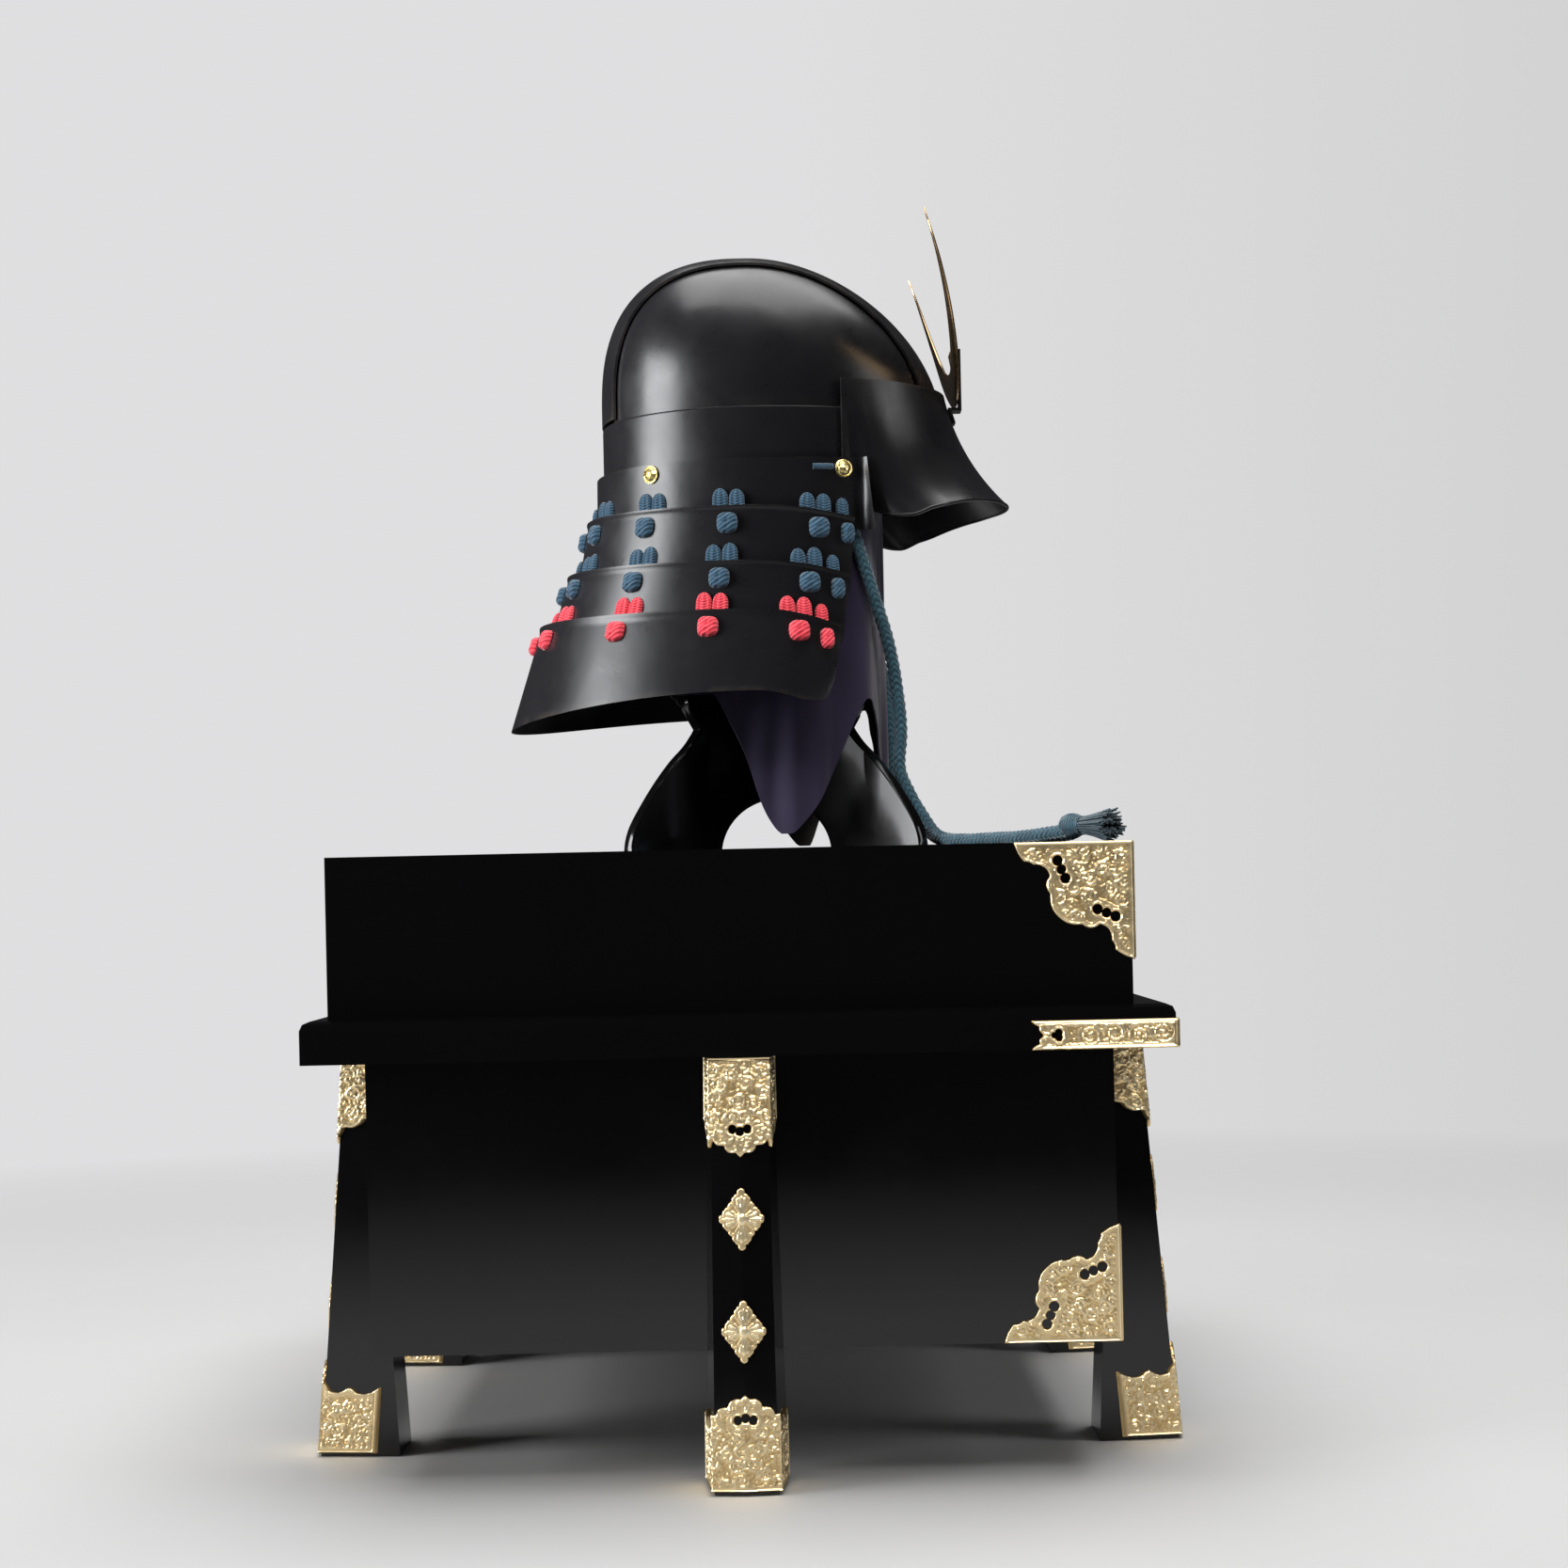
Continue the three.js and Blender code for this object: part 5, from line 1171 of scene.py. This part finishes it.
def lace(name, node, column, side):
    """One column of laces over the three joints of the neck guard, the third of them red."""
    _, top, bottom, width, braids = column
    knot = KNOT_SIZE if braids == 2 else 8.5
    each = width / braids
    parts, owner = [], []
    for joint in range(3):
        angle = side * math.radians(top + (bottom - top) * joint / 2)
        upper, lower = LAMES[joint], LAMES[joint + 1]
        rim_z = float(edge_z(lower["top"], angle, lame_front_angle(lower, 0)))
        made = []
        for b in range(braids):
            across = (b - (braids - 1) / 2) * each
            head = rim_z + 11.3 - 0.7 * ((b + joint) % 2)
            made.append(strip(upper, angle, head, rim_z - 4, across, each))
        made.append(cross_knot(lower, angle, rim_z - 11, knot))
        parts += made
        owner += [1 if joint == 2 else 0] * sum(len(faces) for _, faces, _ in made)
    points, faces, uv = joined(parts)
    settle(link_mesh(name, points, faces, [BLUE, RED], material_of=owner, uv=uv, sharp=0), "lace", node)


def brow_stitch(name, side):
    """The short stitch behind the front rivet."""
    lame = LAMES[0]
    angle = side * math.acos((56.8 - BOWL_X) / (BOWL_FRONT + LAME_OUT))
    point, tangent, normal, _ = lame_frame(lame, angle, SEAM_Z - 38.5)
    path = [point + tangent * t + normal * (0.9 - 0.012 * t * t) for t in np.linspace(-6.5, 6.5, 16)]
    points, faces, uv = tube(path, lambda length, turn, total: 1.9, 10)
    settle(link_mesh(name, points, faces, [BLUE], uv=uv, sharp=0), "lace")


for column in LACE_COLUMNS:
    if column[0] == "centre":
        lace("braid_centre", "lace_centre", column, 1)
        continue
    for end, side in SIDES:
        lace(f"braid_{column[0]}_{end}", f"lace_{column[0]}_{end}", column, side)
for end, side in SIDES:
    brow_stitch(f"brow_stitch_{end}", side)

# Rivets, as a radius and a height over the lame
RIVET_PROFILE = [(1.7, -8), (1.7, 0.3), (5.6, 0.3), (5.75, 0.7), (5.6, 1.2), (5.0, 1.35), (4.6, 1.1),
                 (4.2, 1.3), (3.6, 2.3), (2.9, 2.95), (2.0, 3.2), (1.6, 3.0), (1.2, 3.15), (0.05, 3.3)]


def rivet(name, node, x, side):
    along = (BOWL_FRONT if x > BOWL_X else BOWL_BACK) + LAME_OUT
    angle = side * math.acos((x - BOWL_X) / along)
    point, tangent, normal, _ = lame_frame(LAMES[0], angle, SEAM_Z - 39.5)
    up = np.cross(normal, tangent)
    around = 40
    points = []
    for r, h in RIVET_PROFILE:
        for k in range(around):
            turn = 2 * math.pi * k / around
            petal = 1 + (0.03 * math.cos(12 * turn) if 1.3 < h < 3 else 0)
            out = tangent * math.cos(turn) + up * math.sin(turn)
            points.append(point + normal * h + out * r * petal)
    faces = tube_faces(len(RIVET_PROFILE), around)
    settle(link_mesh(name, np.array(points), faces, [BRASS], sharp=40), "brass", node)


for end, side in SIDES:
    rivet(f"dome_front_{end}", f"rivet_front_{end}", 69.5, side)
    rivet(f"dome_back_{end}", f"rivet_back_{end}", -50.3, side)

# Crest
CREST_FOOT_Z = SEAM_Z + 13
CREST_FRONT_X = 147.0
CREST_SHEET = 3.6
CREST_HALF_SPAN = 100.0
CREST_RISE = 105.3
CREST_BREADTH = 22.0


def crest():
    """The crescent, thin at its edges and tips, and bent back as it rises."""
    def centre_x(z):
        rise = z - CREST_FOOT_Z
        return CREST_FRONT_X - CREST_SHEET / 2 - 0.12 * rise - 0.00102 * rise * rise

    def arc(rise, foot):
        r = (CREST_HALF_SPAN**2 + rise * rise) / (2 * rise)
        end = math.asin(min(1, CREST_HALF_SPAN / r))
        sweep = math.pi - end if rise > r else end
        turn = np.linspace(-sweep, sweep, 121)
        return np.stack([r * np.sin(turn), foot + r - r * np.cos(turn)], 1)

    outer, inner = arc(CREST_RISE, 0), arc(CREST_RISE - CREST_BREADTH, CREST_BREADTH)
    full = np.minimum(CREST_SHEET, 0.8 + np.linalg.norm(inner - outer, axis=1) * 0.16) / 2
    front, back = [], []
    for share, thick in ((0, 0.25), (0.12, 0.8), (0.3, 1.0), (0.7, 1.0), (0.88, 0.8), (1, 0.25)):
        y, rise = (outer + (inner - outer) * share).T
        z = CREST_FOOT_Z + rise
        front.append(np.stack([centre_x(z) + full * thick, y, z], 1))
        back.append(np.stack([centre_x(z) - full * thick, y, z], 1))
    points, faces, _ = shell(np.array(front), np.array(back))
    points[:, 0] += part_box("crest")[1].x * 1000 - points[:, 0].max()
    settle(link_mesh("crescent", points, faces, [CREST], sharp=30), "crest_gold", "crest")


crest()
dress("crest_socket", CREST, 0.5)
dress("crest_bracket", HELMET, 0.35)

# Stand: two crossing boards with smooth edges. The profiles are shares of the foot's reach and the waist's
# height, and of the half width and the height from the waist to the dome.
FOOT_Z = LID_TOP_Z + GAP
FOOT_REACH = 130.7
WAIST_RISE = 79.0
WAIST_Z = FOOT_Z + WAIST_RISE
FOOT_PROFILE = [(1, 0), (0.985, 0.13), (0.942, 0.27), (0.823, 0.52), (0.702, 0.73), (0.601, 0.87), (0.53, 1)]
UPPER_PROFILE = [(0.96, 0.035), (1, 0.1), (1, 0.68), (0.96, 0.76), (0.84, 0.82)]
DOME_SHARES = [0.75, 0.56, 0.35, 0.08]
UNDER_CLOTH = 1.8
HEM_ROOM = 277.6


def cloth_top(x, y):
    """The height of the cloth's dome, a little lower than the bowl inside."""
    r = np.hypot(x - STAND_X, y)
    return bowl_z(x, y, CROWN_IN) - 0.9 - 10 * (r / 60) ** 2


def stand_top():
    return float(cloth_top(STAND_X + 6.4, 0)) - UNDER_CLOTH


def stand_board(name, node, heading):
    c, s = math.cos(heading), math.sin(heading)
    top_z = stand_top()
    lower = spline([(f * FOOT_REACH, FOOT_Z + h * WAIST_RISE) for f, h in FOOT_PROFILE], 40)
    outlines = []
    for direction in (1, -1):
        upper = [(f * STAND_HALF_WIDTH, WAIST_Z + h * (top_z - WAIST_Z)) for f, h in UPPER_PROFILE]
        for share in DOME_SHARES:
            r = direction * share * STAND_HALF_WIDTH
            z = float(cloth_top(STAND_X + r * c, r * s)) - UNDER_CLOTH - share * 2.8
            upper.append((share * STAND_HALF_WIDTH, z))
        half = np.concatenate([lower, spline(upper, 60)[1:]])
        outlines.append(np.stack([direction * half[:, 0], half[:, 1]], 1))
    turn = np.linspace(0, math.pi, 41)
    arch = np.stack([-55 * np.cos(turn), FOOT_Z + 36 * np.sin(turn)], 1)
    outline = np.concatenate([outlines[0], outlines[1][::-1], arch])
    edge = np.roll(outline, -1, 0) - np.roll(outline, 1, 0)
    normal = np.stack([-edge[:, 1], edge[:, 0]], 1)
    normal /= np.linalg.norm(normal, axis=1, keepdims=True)
    rows = []
    for inset, out in ((1.4, -4.0), (0.45, -3.6), (0, -2.7), (0, 2.7), (0.45, 3.6), (1.4, 4.0)):
        along, z = (outline + normal * inset).T
        rows.append(np.stack([STAND_X + c * along - s * out, s * along + c * out, np.maximum(z, FOOT_Z)], 1))
    faces = tube_faces(len(rows), len(outline))
    board = link_mesh(name, np.array(rows).reshape(-1, 3), faces, [STAND], sharp=40)
    settle(board, "stand_lacquer", node)


stand_board("board_shell_a", "stand_board_a", math.radians(45))
stand_board("board_shell_b", "stand_board_b", math.radians(-45))

# Cloth: at each angle, its hem's height as a share of HEM_ROOM, and its reach as a share of the half width
HEM = np.array([
    (0, 0.115, 0.9), (15, 0.15, 0.92), (32, 0.28, 0.97), (45, 0.345, 1.06), (58, 0.2, 0.97), (72, 0.02, 0.93),
    (88, 0.08, 0.91), (105, 0.24, 0.92), (120, 0.34, 0.98), (135, 0.36, 1.06), (155, 0.38, 0.93),
    (180, 0.39, 0.87), (205, 0.38, 0.93), (225, 0.36, 1.06), (244, 0.35, 0.98), (254, 0.24, 0.92),
    (264, 0.1, 0.9), (273, 0.04, 0.91), (286, 0.075, 0.92), (300, 0.18, 0.95), (315, 0.345, 1.06),
    (328, 0.28, 0.97), (345, 0.15, 0.92), (360, 0.115, 0.9),
])


def cloth_piece():
    """The cloth over the stand, in rows from its crown to its hem, and its area in square metres."""
    count = 240
    angle = np.linspace(0, 360, count, endpoint=False)
    keys, *values = HEM.T
    hang, reach = (eased(keys, v, angle) for v in values)
    turn = np.radians(angle)
    shoulder_z = WAIST_Z + 0.82 * (stand_top() - WAIST_Z) + 4
    shoulder_reach = 0.86 + 0.25 * (reach - 0.86)
    hem_z = LID_TOP_Z + 0.6 + hang * HEM_ROOM
    off_board = np.abs(((angle - 45) % 90 + 45) % 90 - 45) / 45
    free = np.clip(off_board * 2.2 - 0.25, 0, 1)

    def dome(share):
        r = share * STAND_HALF_WIDTH
        x = STAND_X + r * np.cos(turn)
        y = r * np.sin(turn)
        return np.stack([x, y, cloth_top(x, y)], 1)

    def drape(share):
        spread = shoulder_reach + (reach - shoulder_reach) * min(1, share / 0.12)
        fold = free * share * (2.6 * np.sin(turn * 9 + 0.8) + 1.3 * np.sin(turn * 23 + share * 3))
        wrinkle = free * 0.7 * np.sin(turn * 31 + share * 17) * share * (1 - share) * 3
        r = spread * STAND_HALF_WIDTH + fold + wrinkle
        z = shoulder_z + (hem_z - shoulder_z) * share
        return np.stack([STAND_X + r * np.cos(turn), r * np.sin(turn), z], 1)

    rows = [dome(s) for s in np.linspace(0.03, 0.75, 22)]
    last, first = dome(0.75), drape(0.0)
    for t in (0.25, 0.5, 0.75):
        rows.append(last + (first - last) * t + np.array([0, 0, 2.5]) * math.sin(math.pi * t))
    rows += [drape(s) for s in np.linspace(0, 0.12, 5)]
    rows += [drape(s) for s in np.linspace(0.12, 1, 54)[1:]]
    outer = np.array(rows)
    points, faces, kind = shell(outer, other_side(outer, STAND_X, 60.0, 0.9, closed=True), closed=True)
    crown = [list(range(count))[::-1], [len(rows) * count + i for i in range(count)]]
    owner = [1 if k == 1 else 0 for k in kind] + [0, 1]
    across, down = lengths_along(outer[30]), lengths_along(outer[:, 0])
    uv = [(u, v) for v in down for u in across]
    piece = link_mesh("draped_cloth", points, faces.tolist() + crown, [PURPLE, REVERSE], material_of=owner,
                      uv=uv + uv, sharp=60)
    settle(piece, "cloth", "stand_cloth")
    cells = np.cross(np.roll(outer, -1, 1)[:-1] - outer[:-1], outer[1:] - outer[:-1])
    return piece, np.linalg.norm(cells, axis=2).sum() * 1e-6


draped, area = cloth_piece()


# Floor and light
def make_floor():
    """A pale paper disc that fades out at its rim."""
    s = Shader("floor_paper")
    s.link(s.blend(s.noise(3, 4), (0.79, 0.79, 0.79), (0.83, 0.83, 0.825)), "Base Color")
    s.set(roughness=0.6)
    s.link(s.bump(s.noise(400, 3), 0.2, 0.0002), "Normal")
    distance = s.node("ShaderNodeVectorMath", {0: s.where}, operation="LENGTH").outputs["Value"]
    s.link(s.ranged(distance, 1.0, 0.0, 0.8, 1.9), "Alpha")
    around = 96
    rings = (300, 600, 900, 1200, 1600, 2000)
    points = [(0, 0, -0.2)]
    for r in rings:
        for k in range(around):
            turn = 2 * math.pi * k / around
            points.append((r * math.cos(turn), r * math.sin(turn), -0.2))
    faces = [[0, 1 + k, 1 + (k + 1) % around] for k in range(around)]
    faces += grid_faces(len(rings), around, 1, closed=True)[:, ::-1].tolist()
    made = link_mesh("floor", points, faces, [s.material], sharp=0)
    return made


# A soft studio: a bright window on the left behind the helmet's back, and weak light from elsewhere.
def area_light(name, place, target, size, power, colour=(1, 1, 1)):
    data = bpy.data.lights.new(name, "AREA")
    data.shape = "RECTANGLE"
    data.size, data.size_y = size
    data.energy = power
    data.color = colour
    lamp = bpy.data.objects.new(name, data)
    lamp.location = place
    lamp.rotation_euler = (Vector(target) - Vector(place)).to_track_quat("-Z", "Y").to_euler()
    bpy.context.scene.collection.objects.link(lamp)
    return lamp


def light_only(lamp, chosen):
    """Limits a lamp to the meshes that are chosen."""
    group = bpy.data.collections.new(f"lit_by_{lamp.name}")
    for piece in bpy.context.scene.objects:
        if piece.type == "MESH" and chosen(piece):
            group.objects.link(piece)
    lamp.light_linking.receiver_collection = group


def make_world():
    """A light wall that only the camera sees, a little darker to the right, and a dim room."""
    world = bpy.data.worlds.new("studio")
    bpy.context.scene.world = world
    world.use_nodes = True
    tree = world.node_tree
    room = tree.nodes["Background"]
    room.inputs[0].default_value = (0.93, 0.95, 1.0, 1)
    room.inputs[1].default_value = 0.022
    heading = add_node(tree, "ShaderNodeTexCoord").outputs["Generated"]
    to_right = add_node(tree, "ShaderNodeSeparateXYZ", {0: heading}).outputs[0]
    share = add_node(tree, "ShaderNodeMapRange", {0: to_right, 1: 0.0, 2: 0.3}).outputs[0]
    tone = colour_mix(tree, share, (0.742, 0.736, 0.748), (0.64, 0.642, 0.64))
    wall = add_node(tree, "ShaderNodeBackground", {0: tone}).outputs[0]
    seen = add_node(tree, "ShaderNodeLightPath").outputs["Is Camera Ray"]
    both = add_node(tree, "ShaderNodeMixShader", {0: seen, 1: room.outputs[0], 2: wall}).outputs[0]
    tree.links.new(both, tree.nodes["World Output"].inputs["Surface"])


floor = make_floor()
make_world()
window = area_light("window", (-2.6, -0.9, 1.0), (0, 0, 0.5), (1.5, 1.9), 115, (0.96, 0.98, 1.0))
area_light("top", (0.1, 0.3, 2.6), (0, 0, 0.3), (2.0, 2.0), 46)
area_light("right", (2.4, -0.8, 1.3), (0, 0, 0.4), (0.8, 1.4), 9)
front_top = area_light("front_top", (0.4, -2.5, 2.3), (0, -0.2, 0.3), (2.6, 1.0), 90, (1.0, 0.98, 0.95))
floor_top = area_light("floor_top", (0, 0, 4.5), (0, 0, 0), (4, 4), 74)
window_floor = area_light("window_floor", (-2.6, -0.9, 1.0), (0, 0, 0.5), (1.5, 1.9), 36)

# Only a part of the window's low light falls on the floor, so the shadow under the chest stays deep, and
# the front light stays off the lacquer, which would mirror it.
unlacquered = {GILT, BRASS, CREST, BLUE, RED, CORD, PURPLE}
light_only(window, lambda piece: piece != floor)
light_only(window_floor, lambda piece: piece == floor)
light_only(floor_top, lambda piece: piece == floor)
light_only(front_top, lambda piece: unlacquered & set(piece.data.materials))
bpy.context.scene.view_settings.view_transform = "Standard"
